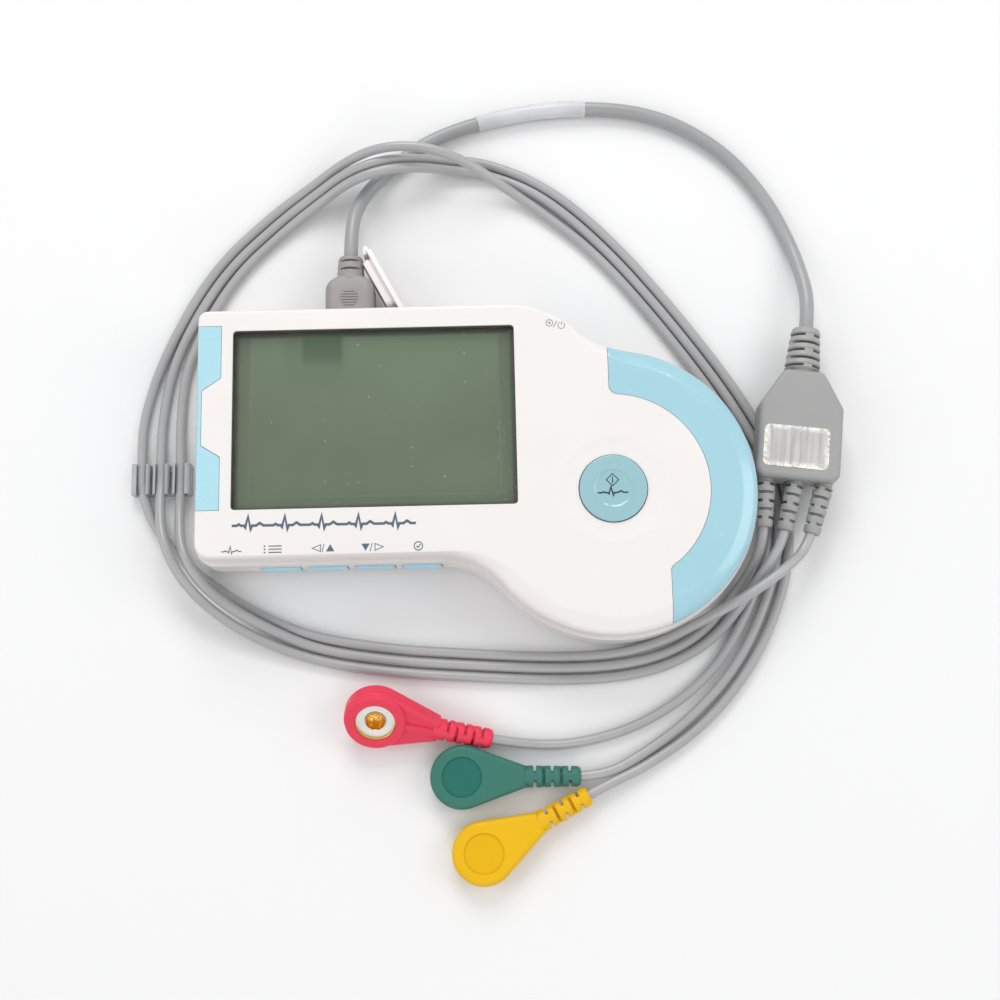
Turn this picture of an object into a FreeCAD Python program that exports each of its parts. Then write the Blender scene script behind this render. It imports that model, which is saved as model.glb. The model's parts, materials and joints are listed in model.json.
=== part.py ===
"""Handheld home ECG monitor with its three-lead patient cable, as a parametric FreeCAD document.

Millimetres, +Z up, the handset lying on its back. X runs along the handset's length, Y across it.
The origin is under the middle of the handset's box. Outlines are drawn about the start button's axis.
"""
import FreeCAD
import Part
import math
import os

Vector = FreeCAD.Vector
Rotation = FreeCAD.Rotation
Placement = FreeCAD.Placement

# Driving dimensions, all in millimetres or degrees.
SIZES = {
    "start_x": 31.2, "start_y": -14.3,          # start button's axis
    "round_end": 34.0,                           # radius of the round end, at the lower shell
    "left_reach": 96.4, "back_reach": 45.5, "front_reach": 14.9,
    "corner_back": 3.0, "corner_front": 4.6,     # corner radii of the left end
    "shoulder_x": 23.575, "shoulder_y": 21.185, "shoulder_convex": 24.315,
    "waist_concave": 17.6,
    "rim_step": 0.7,                             # the upper shell stands this far inside the lower
    "base_level": 0.6, "parting_level": 12.2, "face_level": 19.0,
    "wall": 2.2, "floor_top": 3.2, "haunch_level": 14.8, "roof_under": 16.6,
    "skin": 1.2, "door_skin": 1.5, "door_gap": 0.25,
    "screen_length": 65.5, "screen_width": 42.6, "screen_left": -56.1, "screen_back": 25.2,
    "lens_top": 17.6, "lens_flange": 0.8, "panel_bottom": 14.3, "panel_thick": 1.4,
    "button_radius": 7.75, "button_gap": 0.2, "dish_radius": 12.7, "dish_depth": 0.4,
    "button_top": 19.15,
    "key_pitch": 11.0, "key_first": -46.2, "key_length": 9.2, "key_bottom": 3.6, "key_tall": 5.0,
    "key_proud": 0.6, "key_gap": 0.2, "key_depth": 2.9,
    "power_angle": 58.0, "power_span": 25.0, "power_bottom": 4.6, "power_tall": 4.6,
    "port_x": -29.8, "port_level": 7.5, "plug_length": 11.3, "plug_width": 11.8, "plug_thick": 7.6,
    "cover_pin_x": -16.6, "cover_pin_y": 30.0, "cover_reach": 20.4, "cover_thick": 1.2,
    "cover_bottom": 3.5, "cover_tall": 7.8, "cover_open": 62.2, "cover_pin_radius": 0.6,
    "board_bottom": 13.0, "board_thick": 1.0,
    "cell_radius": 5.25, "cell_length": 44.5, "cell_left": -57.4, "cell_level": 7.5,
    "cell_front_y": -10.4, "cell_back_y": 1.4,
    "door_right": -9.0, "door_front": -17.6, "door_back": 8.6, "door_lip": 5.2,
    "foot_radius": 3.0, "foot_seat": 0.3,
    "trunk_dia": 3.4, "lead_dia": 2.4,
    "yoke_x": 75.2, "yoke_y": -11.4, "yoke_turn": -7.0, "yoke_half": 9.85, "yoke_straight": 18.0,
    "yoke_length": 26.7, "yoke_neck": 4.65, "yoke_bottom": 2.75, "yoke_split": 6.9, "yoke_top": 11.0,
    "snap_radius": 7.3, "snap_thick": 5.6, "snap_neck": 2.45, "snap_neck_at": 14.7,
    "snap_relief": 12.6, "snap_step": 0.8, "stud_radius": 1.95,
    "sleeve_x": 15.5, "sleeve_y": 86.6, "sleeve_turn": 6.5, "sleeve_length": 28.4,
    "clip_left": -83.0, "clip_right": -68.8, "clip_front": -10.0, "clip_back": -2.6, "clip_tall": 4.0,
}

# Routes of the cords: points that their runs join, from the handset or yoke outwards.
TRUNK_ROUTE = [
    (-29.8, 45.7, 7.5), (-29.8, 54.2, 7.5), (-28, 63.5, 3.6), (-21.5, 71.6, 1.75), (-10.4, 80.5, 2.1),
    (8.9, 86.5, 2.1), (29.8, 88.3, 2.1), (48.2, 85.2, 2.1), (63.2, 75.8, 1.75), (72.9, 63.4, 1.75),
    (78.2, 51.6, 2), (80.6, 41.5, 4.2), (81.27, 32.82, 6.95), (80.01, 24.91, 6.95)]
RED_ROUTE = [
    (79.54, -20.1, 6.63), (77.37, -26.75, 6.4), (71.8, -31.9, 9.4), (64.6, -36.9, 10.4),
    (57.4, -40.9, 10.2), (50.2, -44.4, 6.8), (42.2, -48.1, 2.4), (31.2, -50.7, 1.25),
    (16.1, -50.9, 1.25), (-1.8, -49.7, 1.25), (-20.4, -48.2, 1.25), (-38.2, -45.2, 1.25),
    (-48.4, -41.4, 1.25), (-61.6, -33.8, 1.25), (-73.8, -23.4, 1.25), (-80.4, -12, 2.1),
    (-80.9, -1.2, 2.1), (-80.9, 9.4, 1.25), (-75.9, 26.1, 1.25), (-64.5, 47.2, 1.25),
    (-50, 61.2, 1.25), (-39.6, 68, 3), (-31.8, 72.2, 6.8), (-23.4, 74.2, 10.8), (-14.2, 74.2, 12),
    (-5.2, 72.2, 11), (2.8, 69.2, 6.4), (9.8, 65.4, 2.6), (17.6, 60.1, 1.25), (31.1, 48.6, 1.25),
    (46.5, 28.9, 1.25), (60.3, 8.3, 1.25), (69, -9.6, 1.25), (69.2, -26.6, 1.25), (62.6, -42.8, 1.25),
    (53.4, -56.4, 1.25), (38.6, -66.6, 1.25), (22.4, -71.2, 1.25), (8.69, -70.95, 1.6),
    (0.37, -69.2, 2.89)]
GREEN_ROUTE = [
    (67.65, -18.02, 6.64), (67.04, -24.99, 6.4), (64.4, -31.4, 3.8), (59.6, -38, 1.25),
    (52.1, -46.1, 1.25), (43, -51, 1.25), (31.5, -53.4, 1.25), (16, -53.6, 1.25), (-2, -52.4, 1.25),
    (-20.7, -50.9, 1.25), (-38.6, -47.9, 1.25), (-50.9, -42.4, 3.4), (-60, -37.1, 6.7),
    (-66.7, -30.7, 7.3), (-70.3, -23.2, 6.4), (-71.3, -15.6, 3.2), (-71.3, -8.1, 2.1),
    (-71.4, -1.1, 2.1), (-71.9, 8.4, 1.25), (-70.6, 23.4, 1.25), (-60.3, 44, 1.25),
    (-46.4, 57.4, 1.25), (-37.4, 63.3, 3.8), (-29.6, 66.8, 8.6), (-20.9, 69.3, 9.6),
    (-12.8, 70.9, 6.4), (-4.4, 71.5, 2.4), (4.2, 70.8, 1.25), (17.4, 65, 1.25), (33, 50.4, 1.25),
    (48.6, 30.4, 1.25), (62.6, 9.6, 1.25), (71.6, -9, 1.25), (71.8, -27, 1.25), (66.4, -42.4, 1.25),
    (58.8, -55.6, 1.25), (47.2, -67, 1.25), (36.4, -74.1, 1.7), (27.8, -78.5, 2.85),
    (20.6, -78.42, 2.85)]
YELLOW_ROUTE = [
    (73.16, -19.14, 6.83), (71.51, -25.12, 6.78), (67.8, -31, 7.5), (64, -35.9, 6.5),
    (60.3, -41.2, 2.6), (53.8, -48.3, 1.25), (43.9, -53.6, 1.25), (31.8, -56.1, 1.25),
    (15.9, -56.3, 1.25), (-2.2, -55.1, 1.25), (-21, -53.6, 1.25), (-39, -50.6, 1.25),
    (-52.8, -45.2, 2.8), (-62.4, -39, 6.2), (-69.8, -31.4, 7.4), (-74.4, -21.9, 7.4),
    (-75.9, -13.5, 3.8), (-76.1, -7.1, 2.1), (-76.2, -0.7, 2.1), (-76.3, 9.1, 1.25),
    (-73.4, 25.2, 1.25), (-62.4, 45.6, 1.25), (-48.2, 59.3, 1.25), (-38.6, 65.5, 3.6),
    (-30.7, 69.2, 8), (-22.2, 71.7, 9.3), (-14.3, 73.5, 6), (-5.9, 74.3, 2.4), (3.6, 74, 1.25),
    (18.9, 67.2, 1.25), (34.9, 52.2, 1.25), (50.7, 31.9, 1.25), (64.9, 10.9, 1.25), (74.2, -8.4, 1.25),
    (74.4, -27.4, 1.25), (69.4, -43.4, 1.25), (61.6, -56.8, 1.25), (50.6, -68.4, 1.25),
    (37.8, -76.5, 1.6), (28.94, -80.26, 2.85), (22.53, -83.55, 2.85)]

document = FreeCAD.newDocument("EcgMonitor")
sheet = document.addObject("Spreadsheet::Sheet", "Sizes")
for row, (alias, value) in enumerate(SIZES.items(), start=1):
    sheet.set(f"A{row}", alias)
    sheet.set(f"B{row}", str(value))
    sheet.setAlias(f"B{row}", alias)
document.recompute()

PARTS = {}                                       # node name to document object


def size(alias):
    """Value of a cell of the sheet of sizes."""
    return float(sheet.get(alias))


def cell(expression):
    """Expression whose words in angle marks stand for cells of the sheet."""
    return expression.replace("<", "Sizes.").replace(">", "")


def keep(name, obj):
    """Give a finished document object the node's name."""
    obj.Label = name
    PARTS[name] = obj
    return obj


# ---------------------------------------------------------------- outlines

def line(start, end):
    """Straight edge between two points of the drawing plane."""
    return Part.LineSegment(Vector(*start, 0), Vector(*end, 0))


def arc(centre, radius, start_deg, end_deg):
    """Circular edge about centre, from one direction to the other, whichever way is given."""
    def on_circle(angle):
        turn = math.radians(angle)
        return Vector(centre[0] + radius * math.cos(turn), centre[1] + radius * math.sin(turn), 0)
    return Part.Arc(on_circle(start_deg), on_circle((start_deg + end_deg) / 2), on_circle(end_deg))


def polygon(points):
    """Closed outline of straight edges."""
    return [line(a, b) for a, b in zip(points, points[1:] + points[:1])]


def rounded_box(x0, y0, x1, y1, radius):
    """Rectangle with rounded corners, counter-clockwise."""
    r = radius
    return [line((x0 + r, y0), (x1 - r, y0)), arc((x1 - r, y0 + r), r, -90, 0),
            line((x1, y0 + r), (x1, y1 - r)), arc((x1 - r, y1 - r), r, 0, 90),
            line((x1 - r, y1), (x0 + r, y1)), arc((x0 + r, y1 - r), r, 90, 180),
            line((x0, y1 - r), (x0, y0 + r)), arc((x0 + r, y0 + r), r, 180, 270)]


def circle(x, y, radius):
    """Whole circle."""
    return [Part.Circle(Vector(x, y, 0), Vector(0, 0, 1), radius)]


def sector(centre, inner, outer, start_deg, end_deg):
    """Slice of a ring."""
    def at(radius, angle):
        turn = math.radians(angle)
        return (centre[0] + radius * math.cos(turn), centre[1] + radius * math.sin(turn))
    return [arc(centre, outer, start_deg, end_deg), line(at(outer, end_deg), at(inner, end_deg)),
            arc(centre, inner, end_deg, start_deg), line(at(inner, start_deg), at(outer, start_deg))]


def handset_outline(inset, straight=None):
    """Plan of the handset, a given distance inside the lower shell's wall: tangent lines and arcs.

    A round end about the start button runs through a concave waist into the straight front,
    and through an S-shaped shoulder into the straight back edge. The straight sides may keep
    a distance of their own.
    """
    straight = inset if straight is None else straight
    cx, cy = size("start_x"), size("start_y")
    end = size("round_end") - inset
    left = cx - size("left_reach") + straight
    back = cy + size("back_reach") - straight
    front = cy - size("front_reach") + straight
    corner_back = max(size("corner_back") - straight, 0.5)
    corner_front = max(size("corner_front") - straight, 0.5)
    waist = size("waist_concave") + inset
    waist_drop = cy - front + waist
    waist_centre = (cx - math.sqrt((end + waist) ** 2 - waist_drop ** 2), front - waist)
    waist_dir = math.degrees(math.atan2(waist_centre[1] - cy, waist_centre[0] - cx))
    hip = size("shoulder_convex") - straight
    hip_centre = (cx - size("shoulder_x"), cy + size("shoulder_y"))
    # The concave arc of the shoulder touches the convex one and the round end.
    span = math.hypot(size("shoulder_x"), size("shoulder_y"))
    hollow = 24.76 + inset
    to_end, to_hip = end + hollow, hip + hollow
    along = (to_end ** 2 - to_hip ** 2 + span ** 2) / (2 * span)
    aside = math.sqrt(to_end ** 2 - along ** 2)
    unit = (-size("shoulder_x") / span, size("shoulder_y") / span)
    hollow_centre = (cx + unit[0] * along + unit[1] * aside, cy + unit[1] * along - unit[0] * aside)
    end_dir = math.degrees(math.atan2(hollow_centre[1] - cy, hollow_centre[0] - cx))
    hip_dir = math.degrees(math.atan2(hollow_centre[1] - hip_centre[1], hollow_centre[0] - hip_centre[0]))
    return [
        line((left + corner_front, front), (waist_centre[0], front)),
        arc(waist_centre, waist, 90, waist_dir + 180),
        arc((cx, cy), end, waist_dir, end_dir),
        arc(hollow_centre, hollow, end_dir + 180, hip_dir + 180),
        arc(hip_centre, hip, hip_dir, 90),
        line((hip_centre[0], back), (left + corner_back, back)),
        arc((left + corner_back, back - corner_back), corner_back, 90, 180),
        line((left, back - corner_back), (left, front + corner_front)),
        arc((left + corner_front, front + corner_front), corner_front, 180, 270)]


# ---------------------------------------------------------------- features

def new_body(name):
    """Empty PartDesign body."""
    return document.addObject("PartDesign::Body", name)


def plane(body, role):
    """One of a body's own origin planes, by its role."""
    return next(item for item in body.Origin.OriginFeatures if item.Role == role)


def sketch(body, edges, height="0", role="XY_Plane"):
    """Sketch on a plane of the body, its distance from the plane bound to an expression."""
    item = body.newObject("Sketcher::SketchObject", "Sketch")
    item.AttachmentSupport = [(plane(body, role), "")]
    item.MapMode = "FlatFace"
    item.setExpression("AttachmentOffset.Base.z", cell(height))
    for edge in edges:
        item.addGeometry(edge, False)
    return item


def pad(body, edges, bottom, length, role="XY_Plane"):
    """Pad of an outline from one level, over a bound length."""
    feature = body.newObject("PartDesign::Pad", "Pad")
    feature.Profile = sketch(body, edges, bottom, role)
    feature.setExpression("Length", cell(length))
    return feature


def pocket(body, edges, bottom, length, role="XY_Plane"):
    """Pocket of an outline from one level in the plane's own direction, checked by volume."""
    document.recompute()
    before = body.Shape.Volume
    feature = body.newObject("PartDesign::Pocket", "Pocket")
    feature.Profile = sketch(body, edges, bottom, role)
    feature.Reversed = True
    feature.setExpression("Length", cell(length))
    document.recompute()
    if body.Shape.Volume > before - 1e-3:
        raise RuntimeError(f"a pocket of {body.Name} cuts nothing")
    return feature


def loft(body, sections, subtract=False):
    """Ruled loft through outlines at their levels, added or taken away."""
    kind = "PartDesign::SubtractiveLoft" if subtract else "PartDesign::AdditiveLoft"
    sketches = [sketch(body, edges, level) for edges, level in sections]
    feature = body.newObject(kind, "Loft")
    feature.Profile = sketches[0]
    feature.Sections = sketches[1:]
    feature.Ruled = True
    return feature


def revolve(body, points, role="XZ_Plane", cut=False):
    """Full turn of a profile of (radius, height) points about the body's upright axis."""
    kind = "PartDesign::Groove" if cut else "PartDesign::Revolution"
    profile = sketch(body, polygon(points), "0", role)
    feature = body.newObject(kind, "Turn")
    feature.Profile = profile
    feature.ReferenceAxis = (profile, ["V_Axis"])
    feature.Angle = 360
    return feature


def groove_about(body, x, y, points):
    """Full turn of (radius, height) points about an upright axis, taken away."""
    profile = sketch(body, polygon(points), f"{-y}", "XZ_Plane")
    profile.setExpression("AttachmentOffset.Base.x", f"{x}")
    document.recompute()
    before = body.Shape.Volume
    feature = body.newObject("PartDesign::Groove", "Turn")
    feature.Profile = profile
    feature.ReferenceAxis = (profile, ["V_Axis"])
    feature.Angle = 360
    document.recompute()
    if body.Shape.Volume > before - 1e-3:
        raise RuntimeError(f"a groove of {body.Name} cuts nothing")
    return feature


def fillet(body, radius, wanted):
    """Round the edges of the body for which wanted(edge) holds."""
    document.recompute()
    base = body.Tip
    names = [f"Edge{n}" for n, edge in enumerate(base.Shape.Edges, start=1) if wanted(edge)]
    feature = body.newObject("PartDesign::Fillet", "Fillet")
    feature.Base = (base, names)
    feature.Radius = radius
    document.recompute()
    return feature


def flat_at(level, slack=1e-3):
    """Test for edges that lie at one height."""
    return lambda edge: abs(edge.BoundBox.ZMin - level) < slack and abs(edge.BoundBox.ZMax - level) < slack


def upright(edge):
    """Test for straight edges that stand along Z."""
    box = edge.BoundBox
    return box.XLength < 1e-3 and box.YLength < 1e-3 and box.ZLength > 0.5


def boolean(kind, name, base, tool):
    """Part boolean of two document objects."""
    item = document.addObject(kind, name)
    item.Base = base
    item.Tool = tool
    return item


def fuse_all(name, objects):
    """Part fusion of several document objects."""
    item = document.addObject("Part::MultiFuse", name)
    item.Shapes = objects
    return item


def rod(name, start, radius, length, direction=(0, 0, 1)):
    """Part cylinder from a start point along a direction."""
    item = document.addObject("Part::Cylinder", name)
    item.Radius = radius
    item.Height = length
    item.Placement = Placement(Vector(*start), Rotation(Vector(0, 0, 1), Vector(*direction)))
    return item


# ---------------------------------------------------------------- casing

# Insets of the round end and of the straight sides from the lower shell's wall, and level, up the
# crowned edge of the face; then inset and level down the base edge.
CROWN = [(0.7, 0.7, "<parting_level>"), (0.7, 0.7, "<face_level> - 2.4"), (0.85, 0.7, "<face_level> - 1.8"),
         (1.3, 0.74, "<face_level> - 1.2"), (2.2, 0.86, "<face_level> - 0.75"),
         (4.1, 1.2, "<face_level> - 0.14"), (4.9, 1.75, "<face_level>")]
KEEL = [(3.0, "<base_level>"), (1.6, "<base_level> + 0.3"), (0.6, "<base_level> + 1.1"),
        (0.1, "<base_level> + 2.4"), (0.0, "<base_level> + 3.4"), (0.0, "<parting_level>")]


def crown_sections(skin=0.0):
    """Outlines of the upper form, moved inwards and down by a skin thickness."""
    return [(handset_outline(inset + skin, straight + skin), level if "parting" in level else f"{level} - {skin}")
            for inset, straight, level in CROWN]


def keel_sections(skin=0.0):
    """Outlines of the lower form, moved inwards and up by a skin thickness."""
    return [(handset_outline(inset + skin), level if "parting" in level else f"{level} + {skin}")
            for inset, level in KEEL]


def form(name, sections):
    """Body that is one loft."""
    body = new_body(name)
    loft(body, sections)
    return body


def groove_tool(name, edges, bottom, tall, core):
    """Region of a shell's skin: a prism of the outline without the core inside the skin."""
    region = new_body(name + "_region")
    pad(region, edges, bottom, tall)
    return boolean("Part::Cut", name + "_groove", region, core)


def arc_region(gap=0.0):
    """Plan of the blue band round the round end, its inner sides moved by a gap."""
    cx, cy = size("start_x"), size("start_y")
    inner, outer, corner = 22.2 + gap, 40.0, 1.7
    back_x, front_x = cx - 0.2 + gap, cx + 12.3 + gap
    back_y = cy + math.sqrt(inner ** 2 - (back_x - cx + corner) ** 2)
    front_y = cy - math.sqrt(inner ** 2 - (front_x - cx + corner) ** 2)
    out_back = math.degrees(math.acos((back_x - cx) / outer))
    out_front = -math.degrees(math.acos((front_x - cx) / outer))
    reach = outer * math.sin(math.radians(out_back))
    reach_front = outer * math.sin(math.radians(out_front))
    return [
        line((front_x, cy + reach_front), (front_x, front_y - corner)),
        Part.Arc(Vector(front_x, front_y - corner, 0),
                 Vector(front_x + 0.35 * corner, front_y - 0.42 * corner, 0),
                 Vector(front_x + corner, front_y, 0)),
        Part.Arc(Vector(front_x + corner, front_y, 0), Vector(cx + inner, cy, 0),
                 Vector(back_x + corner, back_y, 0)),
        Part.Arc(Vector(back_x + corner, back_y, 0),
                 Vector(back_x + 0.3 * corner, back_y + 0.42 * corner, 0),
                 Vector(back_x, back_y + corner, 0)),
        line((back_x, back_y + corner), (back_x, cy + reach)),
        arc((cx, cy), outer, out_back, out_front)]


def left_region(gap=0.0):
    """Plan of the blue grip of the left end, with its notch, its inner sides moved by a gap."""
    cx, cy = size("start_x"), size("start_y")
    edge, shallow, deep = cx - 100.0, cx - 89.9 - gap, cx - 94.3 - gap
    low, high = cy - 3.15 + gap, cy + 40.8 - gap
    return polygon([(edge, low), (shallow, low), (shallow, cy + 9.4 - gap), (deep, cy + 12.2 - gap),
                    (deep, cy + 25.1 + gap), (shallow, cy + 28.1 + gap), (shallow, high), (edge, high)])


def screen_outline(grow=0.0, radius=0.9):
    """Rectangle of the screen opening, larger all round by grow."""
    x0, y1 = size("screen_left"), size("screen_back")
    return rounded_box(x0 - grow, y1 - size("screen_width") - grow, x0 + size("screen_length") + grow,
                       y1 + grow, max(radius + grow, 0.3))


def make_upper_casing():
    """White upper shell and the two blue grips set into its skin."""
    core = form("upper_core", crown_sections(size("skin")))
    bed = form("upper_bed", crown_sections(size("skin") + 0.05))
    outer = form("upper_form", crown_sections())
    band = groove_tool("arc_grip", arc_region(0.1), "<parting_level>", "8", core)
    cheek = groove_tool("left_grip", left_region(0.1), "<parting_level>", "8", core)
    band_bed = groove_tool("arc_bed", arc_region(), "<parting_level>", "8", bed)
    cheek_bed = groove_tool("left_bed", left_region(), "<parting_level>", "8", bed)
    keep("arc_grip", boolean("Part::Common", "arc_grip", outer, band))
    outer_again = form("upper_form_again", crown_sections())
    keep("left_grip", boolean("Part::Common", "left_grip", outer_again, cheek))

    blank = new_body("upper_blank")
    loft(blank, crown_sections())
    inner = size("rim_step") + size("wall")
    pocket(blank, handset_outline(inner), "<parting_level>", "<haunch_level> - <parting_level>")
    pocket(blank, handset_outline(inner + 1.3, inner), "<haunch_level>", "<roof_under> - <haunch_level>")
    pocket(blank, screen_outline(), "<roof_under> - 1", "4")
    cx, cy = size("start_x"), size("start_y")
    pocket(blank, circle(cx, cy, size("button_radius") + size("button_gap")), "<roof_under> - 1", "4")
    add_dish(blank)
    tools = fuse_all("grip_grooves", [band_bed, cheek_bed])
    keep("top_shell", boolean("Part::Cut", "top_shell", blank, tools))


def add_dish(body):
    """Shallow dish round the start button, cut as a turned profile."""
    top, depth, rim = size("face_level"), size("dish_depth"), size("dish_radius")
    groove_about(body, size("start_x"), size("start_y"),
                 [(0, top + 1), (rim + 6, top + 1), (rim, top), (rim - 0.9, top - 0.3 * depth),
                  (rim - 2.1, top - 0.8 * depth), (rim - 3.2, top - depth), (0, top - depth)])


def door_region(gap):
    """Plan of the battery door, smaller all round by a gap."""
    edge = size("start_x") - size("left_reach") - 5
    return rounded_box(edge, size("door_front") + gap, size("door_right") - gap, size("door_back") - gap, 1.5)


def key_centres():
    """X of the four keys of the front wall."""
    return [size("key_first") + size("key_pitch") * n for n in range(4)]


def front_wall():
    """Y of the lower shell's straight front wall."""
    return size("start_y") - size("front_reach")


def back_wall():
    """Y of the lower shell's straight back wall."""
    return size("start_y") + size("back_reach")


def power_pivot():
    """Centre of the shoulder's convex arc."""
    return (size("start_x") - size("shoulder_x"), size("start_y") + size("shoulder_y"))


SCREW_SPOTS = [(-58.0, 14.4), (-6.0, 24.0), (-5.0, -23.0), (53.0, 2.0)]
FOOT_SPOTS = [(-56.0, -22.2), (-56.0, 23.0), (46.0, 5.0), (40.0, -38.0)]


def make_lower_casing():
    """White lower shell with its openings and seats, and the battery door with its thumb ribs."""
    core = form("lower_core", keel_sections(size("door_skin")))
    door_groove = groove_tool("battery_door", door_region(0), "0", "<door_lip> + <door_gap>", core)
    blank = new_body("lower_blank")
    loft(blank, keel_sections())
    pocket(blank, handset_outline(size("wall")), "<floor_top>", "<parting_level> - <floor_top>")
    pad_posts(blank)
    cut_key_openings(blank)
    cut_port(blank)
    cut_battery_bay(blank)
    cut_electrode_seats(blank)
    cut_screws_and_feet(blank)
    keep("bottom_shell", boolean("Part::Cut", "bottom_shell", blank, door_groove))

    door_core = form("door_core", keel_sections(size("door_skin") - 0.15))
    leaf = groove_tool("door_leaf", door_region(size("door_gap")), "0", "<door_lip>", door_core)
    door_form = form("door_form", keel_sections())
    blade = boolean("Part::Common", "door_blade", door_form, leaf)
    ribs = []
    for n in range(6):
        rib = document.addObject("Part::Box", f"door_rib_{n}")
        rib.Length, rib.Width, rib.Height = 0.8, 13.0, 0.65
        rib.Placement = Placement(Vector(-56.0 + 1.9 * n, size("door_front") + 6.6, 0.25), Rotation())
        ribs.append(rib)
    keep("battery_door", fuse_all("battery_door", [blade] + ribs))


def pad_posts(body):
    """Screw posts that rise from the floor to the parting line."""
    for x, y in SCREW_SPOTS:
        pad(body, circle(x, y, 2.6), "<floor_top> - 0.5", "<parting_level> - <floor_top> + 0.5")


def cut_key_openings(body):
    """One opening for each key of the front wall and one for the power key of the shoulder."""
    low = size("key_bottom") - size("key_gap")
    high = size("key_bottom") + size("key_tall") + size("key_gap")
    half = size("key_length") / 2 + size("key_gap")
    for x in key_centres():
        pocket(body, rounded_box(x - half, low, x + half, high, 0.9), f"{-front_wall() - 3.2}", "5", "XZ_Plane")
    half_span = size("power_span") / 2 + 0.6
    angle = size("power_angle")
    pocket(body, sector(power_pivot(), 20.5, 28, angle - half_span, angle + half_span),
           "<power_bottom> - <key_gap>", "<power_tall> + 2 * <key_gap>")


def cut_port(body):
    """Recess for the closed cover, clearance for its knuckle, pin holes and the socket's window."""
    wall = back_wall()
    pin_x, pin_y = size("cover_pin_x"), size("cover_pin_y")
    left = pin_x - size("cover_reach") - 0.4
    low = size("cover_bottom") - 0.3
    high = size("cover_bottom") + size("cover_tall") + 0.3
    depth = size("cover_thick")
    pocket(body, rounded_box(left, low, pin_x + 1.5, high, 0.8), f"{-wall - 1}", f"{1 + depth}", "XZ_Plane")
    pocket(body, circle(pin_x, pin_y, 1.55), f"{low}", f"{high - low}")
    pocket(body, circle(pin_x, pin_y, size("cover_pin_radius")), "<cover_bottom> - 0.8", "<cover_tall> + 1.6")
    boss, level = cover_boss(), size("port_level")
    pocket(body, rounded_box(boss[0] - 0.25, level - 3.0, boss[1] + 0.25, level + 3.0, 1.0), f"{-wall}", "5",
           "XZ_Plane")


def cover_boss():
    """X of the two ends of the sealing boss, with the cover closed."""
    return (size("cover_pin_x") - 17.9, size("cover_pin_x") - 5.0)


def cut_battery_bay(body):
    """Opening over the two cells, inside the door's seat."""
    left = size("cell_left") - 2.6
    right = size("cell_left") + size("cell_length") + 1.4
    pocket(body, rounded_box(left, size("door_front") + 1.5, right, size("door_back") - 1.5, 1.0), "0",
           "<floor_top> + 0.5")


def left_seat():
    """Plan of the flat electrode of the left end."""
    edge = size("start_x") - size("left_reach")
    return rounded_box(edge, -8.9, edge + 0.65, 18.9, 0.2)


def right_seat():
    """Plan of the curved electrode of the round end."""
    return sector((size("start_x"), size("start_y")), size("round_end") - 0.65, size("round_end"), -37.8, 29.8)


def cut_electrode_seats(body):
    """Shallow seats for the two electrodes."""
    edge = size("start_x") - size("left_reach")
    pocket(body, rounded_box(edge - 2, -9.0, edge + 0.7, 19.0, 0.3), "6.6", "4.2")
    centre = (size("start_x"), size("start_y"))
    pocket(body, sector(centre, size("round_end") - 0.7, size("round_end") + 2, -38, 30), "5.2", "5.0")


def cut_screws_and_feet(body):
    """Counterbored screw holes and the shallow seats of the feet."""
    for x, y in SCREW_SPOTS:
        pocket(body, circle(x, y, 2.1), "0", "2.2")
        pocket(body, circle(x, y, 1.0), "1", "11.5")
    for x, y in FOOT_SPOTS:
        pocket(body, circle(x, y, size("foot_radius")), "0", "<base_level> + <foot_seat>")


# ---------------------------------------------------------------- screen and controls

def make_screen():
    """Stepped clear window, liquid crystal panel and the frame that holds it."""
    lens = new_body("lcd_lens")
    pad(lens, screen_outline(1.4, 0.6), "<roof_under> - <lens_flange>", "<lens_flange>")
    pad(lens, screen_outline(-0.12), "<roof_under> - 0.2", "<lens_top> - <roof_under> + 0.2")
    keep("lcd_lens", lens)
    panel = new_body("lcd_panel")
    pad(panel, screen_outline(1.0, 0.2), "<panel_bottom>", "<panel_thick>")
    keep("lcd_panel", panel)
    frame = new_body("lcd_frame")
    pad(frame, screen_outline(2.6, 0.4), "<board_bottom> + <board_thick>", "1.7")
    pocket(frame, screen_outline(1.1, 0.2), "<panel_bottom>", "4")
    pocket(frame, screen_outline(-4.0, 0.5), "<board_bottom>", "4")
    keep("lcd_frame", frame)


def make_start_button():
    """Round start button: captive flange, stem and flat face with a shallow dish inside a fine ring."""
    body = new_body("start_button")
    top, under = size("button_top"), size("roof_under")
    r = size("button_radius")
    revolve(body, [(0, 15.8), (1.5, 15.8), (1.5, under - 1.0), (r + 1.2, under - 1.0), (r + 1.2, under - 0.3),
                   (r, under - 0.3), (r, top - 0.22), (r - 0.1, top - 0.06), (r - 0.3, top), (4.75, top),
                   (4.6, top + 0.05), (4.4, top + 0.04), (4.15, top - 0.1), (3.6, top - 0.16), (0, top - 0.2)])
    body.Placement = Placement(Vector(size("start_x"), size("start_y"), 0), Rotation())
    keep("start_button", body)
    switch = new_body("start_switch")
    floor = size("board_bottom") + size("board_thick")
    revolve(switch, [(0, floor), (4.2, floor), (4.2, floor + 0.7), (2.6, floor + 1.0), (1.6, floor + 1.0),
                     (1.4, floor + 1.15), (0, floor + 1.15)])
    switch.Placement = body.Placement
    keep("start_switch", switch)


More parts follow.
